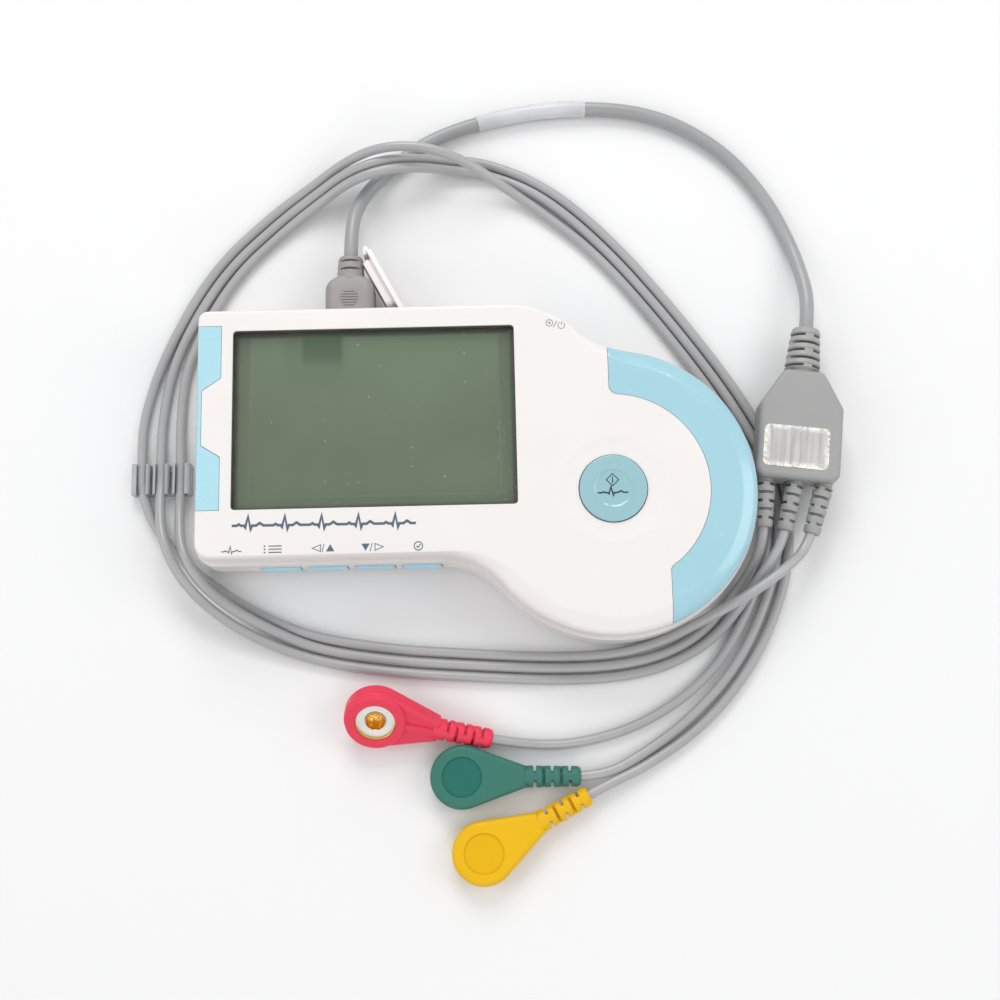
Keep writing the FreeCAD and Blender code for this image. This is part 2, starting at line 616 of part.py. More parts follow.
def make_front_keys():
    """Four blue keys: pillowed cap through the wall and a flange behind it."""
    names = ["menu_key", "left_key", "right_key", "ok_key"]
    inner = front_wall() + size("wall")
    for name, x in zip(names, key_centres()):
        body = new_body(name)
        half, low = size("key_length") / 2, size("key_bottom")
        high = low + size("key_tall")
        pad(body, rounded_box(x - half, low, x + half, high, 0.8), f"{-front_wall()} - <key_depth>",
            "<key_depth> + <key_proud>", "XZ_Plane")
        face_y = front_wall() - size("key_proud")
        fillet(body, 0.45, lambda edge: abs(edge.BoundBox.YMin - face_y) < 1e-3
               and abs(edge.BoundBox.YMax - face_y) < 1e-3)
        pad(body, rounded_box(x - half - 0.7, low - 0.35, x + half + 0.7, high + 0.7, 0.5),
            f"{-inner - 0.95}", "0.8", "XZ_Plane")
        keep(name, body)


def make_power_key():
    """Curved power key of the shoulder with a flange behind the wall."""
    body = new_body("power_key")
    half, angle = size("power_span") / 2, size("power_angle")
    hip = size("shoulder_convex")
    pad(body, sector(power_pivot(), hip - size("wall") - 0.7, hip + 0.7, angle - half, angle + half),
        "<power_bottom>", "<power_tall>")
    pad(body, sector(power_pivot(), hip - size("wall") - 1.0, hip - size("wall") - 0.2, angle - half - 2.2,
                     angle + half + 2.2), "<power_bottom> - 0.8", "<power_tall> + 1.6")
    keep("power_key", body)


def make_key_switches():
    """Side-pressed switches on the board's under side, one behind each key and the power key."""
    solids = []
    top = size("board_bottom")
    for x in key_centres():
        y = front_wall() + 5.0
        case = Part.makeBox(6.0, 3.4, top - 4.4, Vector(x - 3.0, y, 4.4))
        plunger = Part.makeBox(2.4, 0.7, 1.4, Vector(x - 1.2, y - 0.7, 5.4))
        solids.append(case.fuse(plunger).removeSplitter())
    angle = math.radians(size("power_angle"))
    px, py = power_pivot()
    reach = size("shoulder_convex") - size("wall") - 6.0
    case = Part.makeBox(3.4, 6.0, top - 5.4, Vector(0, -3.0, 5.4))
    plunger = Part.makeBox(0.9, 2.4, 1.4, Vector(3.4, -1.2, 6.3))
    power = case.fuse(plunger).removeSplitter()
    power.Placement = Placement(Vector(px + reach * math.cos(angle), py + reach * math.sin(angle), 0),
                                Rotation(Vector(0, 0, 1), size("power_angle")))
    solids.append(power)
    item = document.addObject("Part::Feature", "key_switches")
    item.Shape = Part.makeCompound(solids)
    keep("key_switches", item)


# ---------------------------------------------------------------- board, port and power

def make_board():
    """Main circuit board, its screws, the buzzer and the cable socket."""
    board = new_body("main_pcb")
    pad(board, handset_outline(4.4), "<board_bottom>", "<board_thick>")
    for x, y in SCREW_SPOTS:
        pocket(board, circle(x, y, 3.2), "<board_bottom> - 1", "3")
    keep("main_pcb", board)
    buzzer = new_body("buzzer")
    pad(buzzer, circle(16.0, 8.0, 4.5), "<board_bottom> - 3.2", "3.2")
    pocket(buzzer, circle(16.0, 8.0, 0.9), "<board_bottom> - 4", "1.6")
    keep("buzzer", buzzer)
    port, level = size("port_x"), size("port_level")
    socket = new_body("cable_socket")
    inner_y = back_wall() - size("wall")
    pad(socket, rounded_box(port - 4.9, level - 2.5, port + 4.9, level + 2.5, 0.8), f"{-inner_y + 1.3}",
        "7.6", "XZ_Plane")
    pocket(socket, rounded_box(port - 4.1, level - 1.7, port + 4.1, level + 1.7, 0.5), f"{-inner_y + 0.3}",
           "7.2", "XZ_Plane")
    keep("cable_socket", socket)


def make_port_cover():
    """Hinged cover of the cable port, standing open, and its pin."""
    pin_x, pin_y = size("cover_pin_x"), size("cover_pin_y")
    low, tall = size("cover_bottom"), size("cover_tall")
    body = new_body("port_cover")
    wall = back_wall()
    left = pin_x - size("cover_reach")
    depth = size("cover_thick") - 0.1
    pad(body, rounded_box(left, low, pin_x, low + tall, 2.0), f"{-wall}", f"{depth}", "XZ_Plane")
    pad(body, circle(pin_x, pin_y, 1.2), "<cover_bottom>", "<cover_tall>")
    start, end = cover_boss()
    level = size("port_level")
    pad(body, rounded_box(start, level - 2.7, end, level + 2.7, 1.0), f"{-wall + depth - 0.1}", "1.5",
        "XZ_Plane")
    pocket(body, rounded_box(start + 0.9, level - 1.8, end - 0.9, level + 1.8, 0.5), f"{-wall + depth + 0.5}",
           "1.5", "XZ_Plane")
    hook = [(left + 0.6, -wall + 0.2), (left - 1.0, -wall + 0.5), (left - 1.0, -wall + 1.1),
            (left + 0.2, -wall + 2.0), (left + 1.0, -wall + 2.0)]
    pad(body, polygon([(x, -y) for x, y in hook]), "<port_level> - 2.2", "4.4")
    pocket(body, circle(pin_x, pin_y, size("cover_pin_radius") + 0.06), "<cover_bottom> - 1", "<cover_tall> + 2")
    hinge = Vector(pin_x, pin_y, 0)
    turn = Rotation(Vector(0, 0, 1), -size("cover_open"))
    body.Placement = Placement(hinge - turn.multVec(hinge), turn)
    keep("port_cover", body)
    pin = document.addObject("Part::Cylinder", "cover_pin")
    pin.setExpression("Radius", cell("<cover_pin_radius>"))
    pin.setExpression("Height", cell("<cover_tall> + 1.6"))
    pin.Placement = Placement(Vector(pin_x, pin_y, low - 0.8), Rotation())
    keep("cover_pin", pin)


def make_cells():
    """Two cells lying opposite ways, the springs and contact plates that hold them."""
    left, level = size("cell_left"), size("cell_level")
    radius, length = size("cell_radius"), size("cell_length")
    spring_solids, plate_solids = [], []
    for name, y, flip in (("front_cell", size("cell_front_y"), False), ("back_cell", size("cell_back_y"), True)):
        body = new_body(name)
        revolve(body, [(0, 0), (4.6, 0), (4.6, 0.3), (radius, 0.3), (radius, length - 1.0), (3.0, length - 1.0),
                       (1.9, length - 0.8), (1.9, length), (0, length)])
        start = left + length if flip else left
        toward = Vector(-1, 0, 0) if flip else Vector(1, 0, 0)
        body.Placement = Placement(Vector(start, y, level), Rotation(Vector(0, 0, 1), toward))
        keep(name, body)
        spring_x = left + length + 1.65 if flip else left - 1.65
        coil = Part.makeCone(3.4, 1.8, 1.5).cut(Part.makeCone(2.9, 1.3, 1.5))
        coil.Placement = Placement(Vector(spring_x, y, level), Rotation(Vector(0, 0, 1), toward))
        spring_solids.append(coil)
        for x in (left - 2.3, left + length + 1.7):
            plate_solids.append(Part.makeBox(0.5, 8.6, 8.4, Vector(x, y - 4.3, level - 4.2)))
    springs = document.addObject("Part::Feature", "battery_springs")
    springs.Shape = Part.makeCompound(spring_solids)
    keep("battery_springs", springs)
    plates = document.addObject("Part::Feature", "battery_contacts")
    plates.Shape = Part.makeCompound(plate_solids)
    keep("battery_contacts", plates)


def make_fasteners():
    """Case screws from the back, board screws, electrodes and feet."""
    screws = [rod(f"case_screw_{n}", (x, y, 2.2), 0.95, 9.6) for n, (x, y) in enumerate(SCREW_SPOTS)]
    heads = [rod(f"case_head_{n}", (x, y, 0.9), 1.9, 1.3) for n, (x, y) in enumerate(SCREW_SPOTS)]
    keep("case_screws", fuse_all("case_screws", screws + heads))
    spots = [(18.5, 15.5), (46.0, 5.5), (18.5, -33.0), (57.0, -14.3)]
    shafts = [rod(f"board_head_{n}", (x, y, size("board_bottom") + size("board_thick")), 1.7, 0.9)
              for n, (x, y) in enumerate(spots)]
    keep("board_screws", fuse_all("board_screws", shafts))
    plate = new_body("left_electrode")
    pad(plate, left_seat(), "6.7", "4.0")
    keep("left_electrode", plate)
    curved = new_body("right_electrode")
    pad(curved, right_seat(), "5.3", "4.8")
    keep("right_electrode", curved)
    feet = []
    for n, (x, y) in enumerate(FOOT_SPOTS):
        foot = rod(f"foot_{n}", (x, y, 0), size("foot_radius"), size("base_level") + size("foot_seat"))
        feet.append(foot)
    keep("feet", fuse_all("feet", feet))


# ---------------------------------------------------------------- cable set

def tube_path(points):
    """Wire of straight runs joined by tangent arcs, each as large as its two runs allow."""
    vectors = [Vector(*p) for p in points]
    edges, radii = [], []
    start = vectors[0]
    for before, corner, after in zip(vectors, vectors[1:], vectors[2:]):
        run_in, run_out = corner - before, after - corner
        turn = run_in.getAngle(run_out)
        reach = 0.45 * min(run_in.Length, run_out.Length)
        radii.append(reach / math.tan(turn / 2))
        enter = corner - run_in.normalize() * reach
        leave = corner + run_out.normalize() * reach
        toward = ((enter + leave) * 0.5 - corner).normalize()
        centre_gap = reach / math.sin(turn / 2) * math.tan(turn / 2)
        middle = corner + toward * (math.hypot(radii[-1], reach) - radii[-1])
        edges.append(Part.LineSegment(start, enter).toShape())
        edges.append(Part.Arc(enter, middle, leave).toShape())
        start = leave
        if centre_gap <= 0:
            raise RuntimeError("a route turns back on itself")
    edges.append(Part.LineSegment(start, vectors[-1]).toShape())
    return Part.Wire(edges), radii


CORD_SEAT = 1.2                                  # a cord's end lies this deep in its relief or plug


def make_cord(name, points, diameter):
    """Round tube along a route, its volume compared with section times length."""
    path, radii = tube_path(points)
    first = Vector(*points[1]) - Vector(*points[0])
    ring = Part.Wire(Part.makeCircle(diameter / 2, Vector(*points[0]), first))
    solid = path.makePipeShell([ring], True, True)
    wanted = math.pi * diameter ** 2 / 4 * path.Length
    print(f"{name}: length {path.Length:.1f} mm, smallest radius {min(radii):.1f} mm, "
          f"volume ratio {solid.Volume / wanted:.4f}")
    if abs(solid.Volume / wanted - 1) > 0.01:
        raise RuntimeError(f"the tube of {name} has the wrong volume")
    item = document.addObject("Part::Feature", name)
    item.Shape = solid
    return keep(name, item)


def seat_cord(name, holder, cord):
    """Holder with the seat that a cord's end fills, cut by the cord itself."""
    return boolean("Part::Cut", name, holder, cord)


def cut_windows(body, levels, wide, core, reach, roles, along_x=False):
    """Windows that leave a relief's core: side notches and top slots by turns along its length."""
    for n, level in enumerate(levels):
        low, high = level - wide / 2, level + wide / 2
        for side in (-1, 1):
            near, far = sorted((side * core, side * reach))
            corners = [(near, low), (far, low), (far, high), (near, high)]
            if along_x:
                corners = [(along, across) for across, along in reversed(corners)]
            pocket(body, polygon(corners), f"{-reach}", f"{2 * reach}", roles[n % 2])


def relief_sleeve(name, base_radius, tip_radius, length, cord, root):
    """Strain relief along its own Z: a root, then a waved taper with five rows of windows.

    The root is the (radius, depth, start) of the neck that stands in the yoke; a core of the
    cord's radius runs through the windows.
    """
    body = new_body(name)
    neck, depth, first = root
    levels = [length * (0.11 + 0.175 * n) for n in range(5)]
    profile = [(0, -depth), (neck, -depth), (neck, first)]
    fall = (base_radius - tip_radius) / length
    for level in levels:
        radius = base_radius - fall * level
        profile += [(radius * 0.985, level - 0.45), (radius * 0.95, level + 0.4), (radius, level + 0.6)]
    profile += [(tip_radius, length - 0.6), (tip_radius * 0.93, length - 0.15), (tip_radius * 0.8, length),
                (0, length)]
    revolve(body, profile)
    cut_windows(body, levels, 0.7, cord * 0.6, base_radius + 1, ("XZ_Plane", "YZ_Plane"))
    pad(body, circle(0, 0, cord + 0.04), "0", f"{length - 0.8}")
    return body


def aim(body, start, end):
    """Place a body so that its own Z runs from start towards end."""
    direction = Vector(*end) - Vector(*start)
    body.Placement = Placement(Vector(*start), Rotation(Vector(0, 0, 1), direction))


def yoke_point(along, aside, level):
    """Point in the yoke's own frame, turned into the handset's frame."""
    turn = math.radians(size("yoke_turn"))
    x = size("yoke_x") + aside * math.cos(turn) - along * math.sin(turn)
    y = size("yoke_y") + aside * math.sin(turn) + along * math.cos(turn)
    return (x, y, level)


# Name, place across the yoke's end and outer end of each lead's relief.
LEAD_RELIEFS = (("green_relief", -6.9, (67.3, -22.0, 6.5)), ("yellow_relief", 0.1, (72.1, -23.0, 6.8)),
                ("red_relief", 6.9, (78.3, -23.9, 6.5)))
TRUNK_RELIEF_END = (80.2, 26.1, 6.95)


def make_reliefs(cords):
    """The four strain reliefs of the yoke, each with its cord's seat, and the rods of their roots."""
    level, straight = size("yoke_split"), size("yoke_length")
    places = [("trunk_relief", yoke_point(straight, 0, level + 0.05), TRUNK_RELIEF_END)]
    places += [(name, yoke_point(0, aside, level), end) for name, aside, end in LEAD_RELIEFS]
    roots = []
    for name, start, end in places:
        reach = (Vector(*end) - Vector(*start)).Length
        if name == "trunk_relief":
            sleeve = relief_sleeve(name, 4.35, 3.4, reach, 1.7, (3.4, 1.8, 0.2))
        else:
            sleeve = relief_sleeve(name, 2.35, 2.0, reach, 1.2, (1.9, 1.6, 0.6))
        aim(sleeve, start, end)
        keep(name, seat_cord(name, sleeve, cords[name]))
        direction = Vector(*end) - Vector(*start)
        inside = Vector(*start) - direction.normalize() * (1.8 if name == "trunk_relief" else 1.6)
        roots.append(rod(name + "_root", inside, 3.4 if name == "trunk_relief" else 1.9, 4.0, direction))
    return fuse_all("relief_roots", roots)


def make_yoke(roots):
    """Two moulded halves of the yoke, held on the roots of the reliefs, and its film label."""
    half, neck = size("yoke_half"), size("yoke_neck")
    straight, length = size("yoke_straight"), size("yoke_length")
    outline = polygon([(-half, 0), (half, 0), (half, straight), (neck, length), (-neck, length),
                       (-half, straight)])
    where = Placement(Vector(size("yoke_x"), size("yoke_y"), 0),
                      Rotation(Vector(0, 0, 1), size("yoke_turn")))
    for name, bottom, top in (("yoke_bottom", "yoke_bottom", "yoke_split"), ("yoke_top", "yoke_split", "yoke_top")):
        body = new_body(name)
        pad(body, outline, f"<{bottom}>", f"<{top}> - <{bottom}>")
        fillet(body, 2.4, upright)
        level = size("yoke_bottom") if name == "yoke_bottom" else size("yoke_top")
        fillet(body, 1.2, flat_at(level))
        fillet(body, 0.25, flat_at(size("yoke_split")))
        body.Placement = where
        keep(name, boolean("Part::Cut", name, body, roots))
    label = new_body("yoke_label")
    pad(label, rounded_box(-8.6, 2.6, 6.8, 12.6, 1.3), "<yoke_top>", "0.12")
    label.Placement = where
    keep("yoke_label", label)


def make_plug(trunk):
    """Cable plug: overmoulding with thumb ribs and slotted relief, and the metal tip in the socket."""
    port, level = size("port_x"), size("port_level")
    wall = back_wall() - size("cover_thick")
    wide, thick = size("plug_width") / 2, size("plug_thick") / 2
    body = new_body("cable_plug")
    sections = [(wide - 0.5, thick - 0.4, 0.0), (wide, thick, 1.2), (wide, thick, 8.0),
                (wide - 0.2, thick - 0.1, 9.1), (wide - 0.75, thick - 0.25, 10.1),
                (wide - 1.65, thick - 0.5, 10.85), (3.5, 3.1, size("plug_length"))]
    sketches = []
    for half_x, half_z, along in sections:
        corner = 1.8 if half_x > 4 else 1.5
        sketches.append(sketch(body, rounded_box(-half_x, -half_z, half_x, half_z, corner), f"{along}"))
    feature = body.newObject("PartDesign::AdditiveLoft", "Loft")
    feature.Profile = sketches[0]
    feature.Sections = sketches[1:]
    feature.Ruled = True
    total = TRUNK_ROUTE[0][1] + CORD_SEAT - wall
    start = size("plug_length")
    revolve(body, [(0, start - 0.5), (3.4, start - 0.5), (3.25, start + 0.9), (3.3, start + 1.6),
                   (3.1, start + 2.1), (3.2, start + 2.4), (3.15, start + 3.7), (2.95, start + 4.15),
                   (3.05, start + 4.4), (3.0, total - 0.7), (2.75, total - 0.2), (2.4, total), (0, total)])
    for slot_row in (start + 2.0, start + 4.05):
        cut_windows(body, [slot_row], 0.6, 1.95, 4.5, ("YZ_Plane",))
    for n in range(6):
        rise = 0.68 * (n - 2.5)
        chord = math.sqrt(2.1 ** 2 - rise ** 2)
        pad(body, rounded_box(-chord, 5.6 + rise - 0.2, chord, 5.6 + rise + 0.2, 0.18), f"{-thick - 0.25}",
            "0.5", "XZ_Plane")
    body.Placement = Placement(Vector(port, wall, level),
                               Rotation(Vector(-1, 0, 0), Vector(0, 0, 1), Vector(0, 1, 0)))
    keep("cable_plug", seat_cord("cable_plug", body, trunk))
    tip = new_body("plug_tip")
    pad(tip, rounded_box(port - 3.9, level - 1.5, port + 3.9, level + 1.5, 0.5), f"{-wall}", "7.2", "XZ_Plane")
    pocket(tip, rounded_box(port - 3.3, level - 0.9, port + 3.3, level + 0.9, 0.3), f"{-wall + 1.5}", "6", "XZ_Plane")
    keep("plug_tip", tip)


def make_sleeve(trunk):
    """Clear sleeve with the bare label, round the trunk where the back of its loop is straightest."""
    path, _ = tube_path(TRUNK_ROUTE)
    first = Vector(*TRUNK_ROUTE[1]) - Vector(*TRUNK_ROUTE[0])
    ring = Part.Wire(Part.makeCircle(size("trunk_dia") / 2 + 0.3, Vector(*TRUNK_ROUTE[0]), first))
    length = size("sleeve_length")
    window = Part.makeBox(length, 20, 10, Vector(-length / 2, -10, -5))
    window.Placement = Placement(Vector(size("sleeve_x"), size("sleeve_y"), size("trunk_dia") / 2),
                                 Rotation(Vector(0, 0, 1), size("sleeve_turn")))
    item = document.addObject("Part::Feature", "sleeve_blank")
    item.Shape = path.makePipeShell([ring], True, True).common(window)
    keep("label_sleeve", boolean("Part::Cut", "label_sleeve", item, trunk))


def teardrop(grow=0.0):
    """Outline of a snap's housing: a round head drawn out into a neck along X."""
    head, neck, reach = size("snap_radius") + grow, size("snap_neck") + grow, size("snap_neck_at")
    slope = math.asin((head - neck) / reach)
    touch = math.degrees(math.pi / 2 - slope)
    high = (head * math.cos(math.radians(touch)), head * math.sin(math.radians(touch)))
    return [line((high[0], -high[1]), (reach, -neck)), line((reach, -neck), (reach, neck)),
            line((reach, neck), high), arc((0, 0), head, touch, 360 - touch)]


def make_snap(colour, lead, head, heading, pitch=0.0, roll=0.0):
    """Snap connector: teardrop housing with a raised round under side, relief and metal socket.

    The socket looks down its own -Z until the housing is rolled over.
    """
    name = f"{colour}_snap"
    half, start, relief = size("snap_thick") / 2, size("snap_neck_at"), size("snap_relief")
    body = new_body(name)
    pad(body, teardrop(), "<snap_step> - <snap_thick> / 2", "<snap_thick> - <snap_step>")
    fillet(body, 1.3, flat_at(half))
    fillet(body, 0.7, flat_at(size("snap_step") - half))
    pad(body, circle(0, 0, size("snap_radius") - 0.3), "-<snap_thick> / 2", "2")
    fillet(body, 0.5, flat_at(-half))
    pad(body, rounded_box(6.5, -1.05, 13.4, 0.45, 0.7), f"{size('snap_step') - half - 0.55}", "1")
    profile = sketch(body, polygon(snap_relief_profile()), "0", "XZ_Plane")
    feature = body.newObject("PartDesign::Revolution", "Relief")
    feature.Profile = profile
    feature.ReferenceAxis = (profile, ["H_Axis"])
    feature.Angle = 360
    levels = [start + relief * (0.16 + 0.16 * n) for n in range(5)]
    cut_windows(body, levels, 0.7, 0.9, 3.5, ("XY_Plane", "XZ_Plane"), along_x=True)
    pad(body, circle(0, 0, size("lead_dia") / 2 + 0.04), f"{start}", f"{relief - 0.8}", "YZ_Plane")
    pocket(body, circle(0, 0, 4.6), f"{half - 0.3}", "1")
    pocket(body, circle(0, 0, 4.7), f"{-half - 1}", "2.3")
    pocket(body, circle(0, 0, size("stud_radius") + 0.43), f"{-half - 1}", "4.0")
    turn = Rotation(Vector(0, 0, 1), heading).multiply(Rotation(Vector(0, 1, 0), pitch))
    turn = turn.multiply(Rotation(Vector(1, 0, 0), roll))
    body.Placement = Placement(Vector(*head), turn)
    keep(name, seat_cord(name, body, lead))
    stud = new_body(f"{colour}_stud")
    floor, r = -half + 3.0, size("stud_radius")
    revolve(stud, [(0, floor), (r + 0.4, floor), (r + 0.4, floor - 2.3), (r + 0.15, floor - 2.6),
                   (r, floor - 2.4), (r, floor - 0.5), (0, floor - 0.5)])
    stud.Placement = body.Placement
    keep(f"{colour}_stud", stud)


def snap_relief_profile():
    """Half profile of a snap's relief: (along, radius) points of a waved taper with a round tip."""
    start, length = size("snap_neck_at"), size("snap_relief")
    points = [(start - 1.5, 0), (start - 1.5, 2.5)]
    for n in range(5):
        level = start + length * (0.16 + 0.16 * n)
        radius = 2.5 - 0.04 * n
        points += [(level - 0.6, radius), (level - 0.35, radius - 0.1), (level + 0.35, radius - 0.1),
                   (level + 0.6, radius)]
    tip = start + length
    points += [(tip - 0.9, 2.3), (tip - 0.3, 2.1), (tip, 1.7), (tip, 0)]
    return points


def make_clip():
    """Cable clip: three holders open at the top, one for each lead, joined by a strip at each end."""
    body = new_body("lead_clip")
    tall, front, back = size("clip_tall"), size("clip_front"), size("clip_back")
    middles = (-80.55, -76.0, -71.3)
    ends = [(size("clip_left"), -78.62), (-77.95, -74.05), (-73.25, size("clip_right"))]
    pad(body, rounded_box(size("clip_left"), 0, size("clip_right"), 1.0, 0.3), f"{-back}", "1.5", "XZ_Plane")
    pad(body, rounded_box(size("clip_left"), 0, size("clip_right"), 1.0, 0.3), f"{-front - 1.5}", "1.5", "XZ_Plane")
    for (x0, x1), x in zip(ends, middles):
        pad(body, rounded_box(x0, 0, x1, tall, 0.9), "-<clip_back>", "<clip_back> - <clip_front>", "XZ_Plane")
        rise = 2.1 + math.sqrt(1.55 ** 2 - 1.15 ** 2)
        lip = math.degrees(math.acos(1.15 / 1.55))
        channel = [line((x - 1.15, tall + 1), (x - 1.15, rise)), arc((x, 2.1), 1.55, 180 - lip, 360 + lip),
                   line((x + 1.15, rise), (x + 1.15, tall + 1)), line((x + 1.15, tall + 1), (x - 1.15, tall + 1))]
        pocket(body, channel, f"{-back - 1}", f"{back - front + 2}", "XZ_Plane")
    keep("lead_clip", body)


def check_and_write():
    """Every object is free of errors and every part valid before any file is written."""
    document.recompute()
    for item in document.Objects:
        if "Invalid" in item.State or "Error" in item.State:
            raise RuntimeError(f"{item.Name} ({item.Label}) failed: {item.State}")
    for name, item in PARTS.items():
        shape = item.Shape
        if shape.isNull() or not shape.isValid() or not shape.Solids:
            raise RuntimeError(f"{name} has no valid solid")
    os.makedirs("parts", exist_ok=True)
    for name, item in PARTS.items():
        item.Shape.exportStep(f"parts/{name}.step")
    print(f"{len(PARTS)} parts written")


def main():
    make_upper_casing()
    make_lower_casing()
    make_screen()
    make_start_button()
    make_front_keys()
    make_power_key()
    make_key_switches()
    make_board()
    make_port_cover()
    make_cells()
    make_fasteners()
    trunk = make_cord("trunk_cable", TRUNK_ROUTE, size("trunk_dia"))
    red = make_cord("red_lead", RED_ROUTE, size("lead_dia"))
    green = make_cord("green_lead", GREEN_ROUTE, size("lead_dia"))
    yellow = make_cord("yellow_lead", YELLOW_ROUTE, size("lead_dia"))
    make_plug(trunk)
    make_sleeve(trunk)
    make_yoke(make_reliefs({"trunk_relief": trunk, "red_relief": red, "green_relief": green,
                            "yellow_relief": yellow}))
    make_snap("red", red, (-24.3, -64.0, 6.7), -11.9, pitch=8.6, roll=216.0)
    make_snap("green", green, (-4.9, -78.1, 2.85), -0.7)
    make_snap("yellow", yellow, (-0.15, -95.2, 2.85), 27.2)
    make_clip()
    check_and_write()


main()
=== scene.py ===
"""Handheld ECG monitor with its patient cable: cords, finishes, printing and fine detail.

Where nothing else is said, lengths are in millimetres, angles in degrees and colours linear.
"""
import json
import logging
import math
from contextlib import contextmanager
from dataclasses import dataclass
from enum import Enum
from typing import Callable, Iterable, Iterator, Sequence

import bmesh
import bpy
from mathutils import Matrix, Vector, noise

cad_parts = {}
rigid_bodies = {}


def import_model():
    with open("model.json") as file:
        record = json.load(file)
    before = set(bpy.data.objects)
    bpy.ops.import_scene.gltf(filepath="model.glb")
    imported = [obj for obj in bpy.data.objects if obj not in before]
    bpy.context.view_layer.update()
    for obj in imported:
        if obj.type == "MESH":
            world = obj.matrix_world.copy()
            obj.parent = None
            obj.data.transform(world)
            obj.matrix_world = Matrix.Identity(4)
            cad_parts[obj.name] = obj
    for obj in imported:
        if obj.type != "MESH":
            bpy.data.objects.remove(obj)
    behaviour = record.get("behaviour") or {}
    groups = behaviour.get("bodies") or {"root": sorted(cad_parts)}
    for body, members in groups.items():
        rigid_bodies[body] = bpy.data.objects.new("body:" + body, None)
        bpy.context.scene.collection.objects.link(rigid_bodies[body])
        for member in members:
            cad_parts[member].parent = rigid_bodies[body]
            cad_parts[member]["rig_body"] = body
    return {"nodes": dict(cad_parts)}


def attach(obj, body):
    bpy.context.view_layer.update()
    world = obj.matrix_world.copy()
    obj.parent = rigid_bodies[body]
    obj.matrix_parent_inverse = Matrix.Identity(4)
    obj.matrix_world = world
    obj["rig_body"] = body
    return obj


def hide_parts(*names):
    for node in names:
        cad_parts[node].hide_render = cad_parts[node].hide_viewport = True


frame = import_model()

log = logging.getLogger("monitor")
Rgb = tuple[float, float, float]
Point = tuple[float, float, float]
Spot = tuple[float, float]
Piece = bpy.types.Object
Node = bpy.types.Node
Socket = bpy.types.NodeSocket
MM = 0.001
MONITOR = "monitor"
ORIGIN = (0.0, 0.0, 0.0)


class Lead(Enum):
    """The three leads, by the colour of their snap connectors."""

    RED = "red"
    GREEN = "green"
    YELLOW = "yellow"


# ---------------------------------------------------------------- node helpers

class Graph:
    """Short way to build one node tree."""

    def __init__(self, tree: bpy.types.NodeTree) -> None:
        """Keep the tree that the nodes go into."""
        self.tree = tree

    def put(self, target: Socket, value: object) -> None:
        """Join a socket to an input, or give the input a plain value.

        Args:
            target: The input.
            value: Socket, number or tuple.
        """
        if isinstance(value, Socket):
            self.tree.links.new(value, target)
        else:
            target.default_value = (*value, 1.0) if target.type == "RGBA" else value

    def feed(self, node: Node, **inputs: object) -> Node:
        """Put values on a node's inputs.

        Args:
            node: The node.
            inputs: Value of each input, named with underscores for spaces.

        Returns:
            The node.
        """
        for key, value in inputs.items():
            self.put(node.inputs[key.replace("_", " ")], value)
        return node

    def add(self, kind: str, **settings: object) -> Node:
        """Add a node.

        Args:
            kind: Node type without its "ShaderNode" prefix.
            settings: Properties of the node, and values for its inputs.

        Returns:
            The new node.
        """
        node = self.tree.nodes.new("ShaderNode" + kind)
        for key in [name for name in settings if hasattr(node, name)]:
            setattr(node, key, settings.pop(key))
        return self.feed(node, **settings)

    def coords(self, scale: Point = (1000.0, 1000.0, 1000.0), turn: float = 0.0) -> Socket:
        """Object coordinates, turned about Z and then scaled.

        Args:
            scale: Factors on the three coordinates; 1000 counts millimetres.
            turn: Turn about Z.

        Returns:
            The vector output.
        """
        place = self.add("TexCoord").outputs["Object"]
        turned_by = self.add("Mapping", Rotation=(0.0, 0.0, math.radians(turn)), Vector=place)
        return self.add("Mapping", Scale=scale, Vector=turned_by.outputs["Vector"]).outputs["Vector"]

    def axes(self) -> list[Socket]:
        """Object coordinates in millimetres as three values."""
        return list(self.add("SeparateXYZ", Vector=self.coords()).outputs)

    def math(self, operation: str, *values: object) -> Socket:
        """Arithmetic on numbers or sockets.

        Args:
            operation: Math node operation.
            values: What it works on, in the node's order.

        Returns:
            The value output.
        """
        node = self.add("Math", operation=operation)
        for slot, value in zip(node.inputs, values):
            self.put(slot, value)
        return node.outputs[0]

    def away(self, value: Socket, centre: float) -> Socket:
        """Distance of a value from a centre."""
        return self.math("ABSOLUTE", self.math("SUBTRACT", value, centre))

    def mix(self, factor: object, first: object, second: object) -> Socket:
        """Mix of two colours.

        Args:
            factor: Number or socket.
            first: Colour where the factor is 0.
            second: Colour where the factor is 1.

        Returns:
            The colour output.
        """
        node = self.add("Mix", data_type="RGBA")
        for index, value in ((0, factor), (6, first), (7, second)):
            self.put(node.inputs[index], value)
        return node.outputs[2]

    def ramp(self, value: Socket, low: float, high: float) -> Socket:
        """Smooth step from 0 at low to 1 at high; high may lie below low."""
        step = self.add("MapRange", interpolation_type="SMOOTHSTEP", Value=value, From_Min=low, From_Max=high)
        return step.outputs["Result"]

    def speckle(self, where: Socket, scale: float, detail: float = 2.0, bend: float = 0.0) -> Socket:
        """Noise from 0 to 1, with its cells per unit, octaves and distortion."""
        return self.add("TexNoise", Vector=where, Scale=scale, Detail=detail, Distortion=bend).outputs["Fac"]


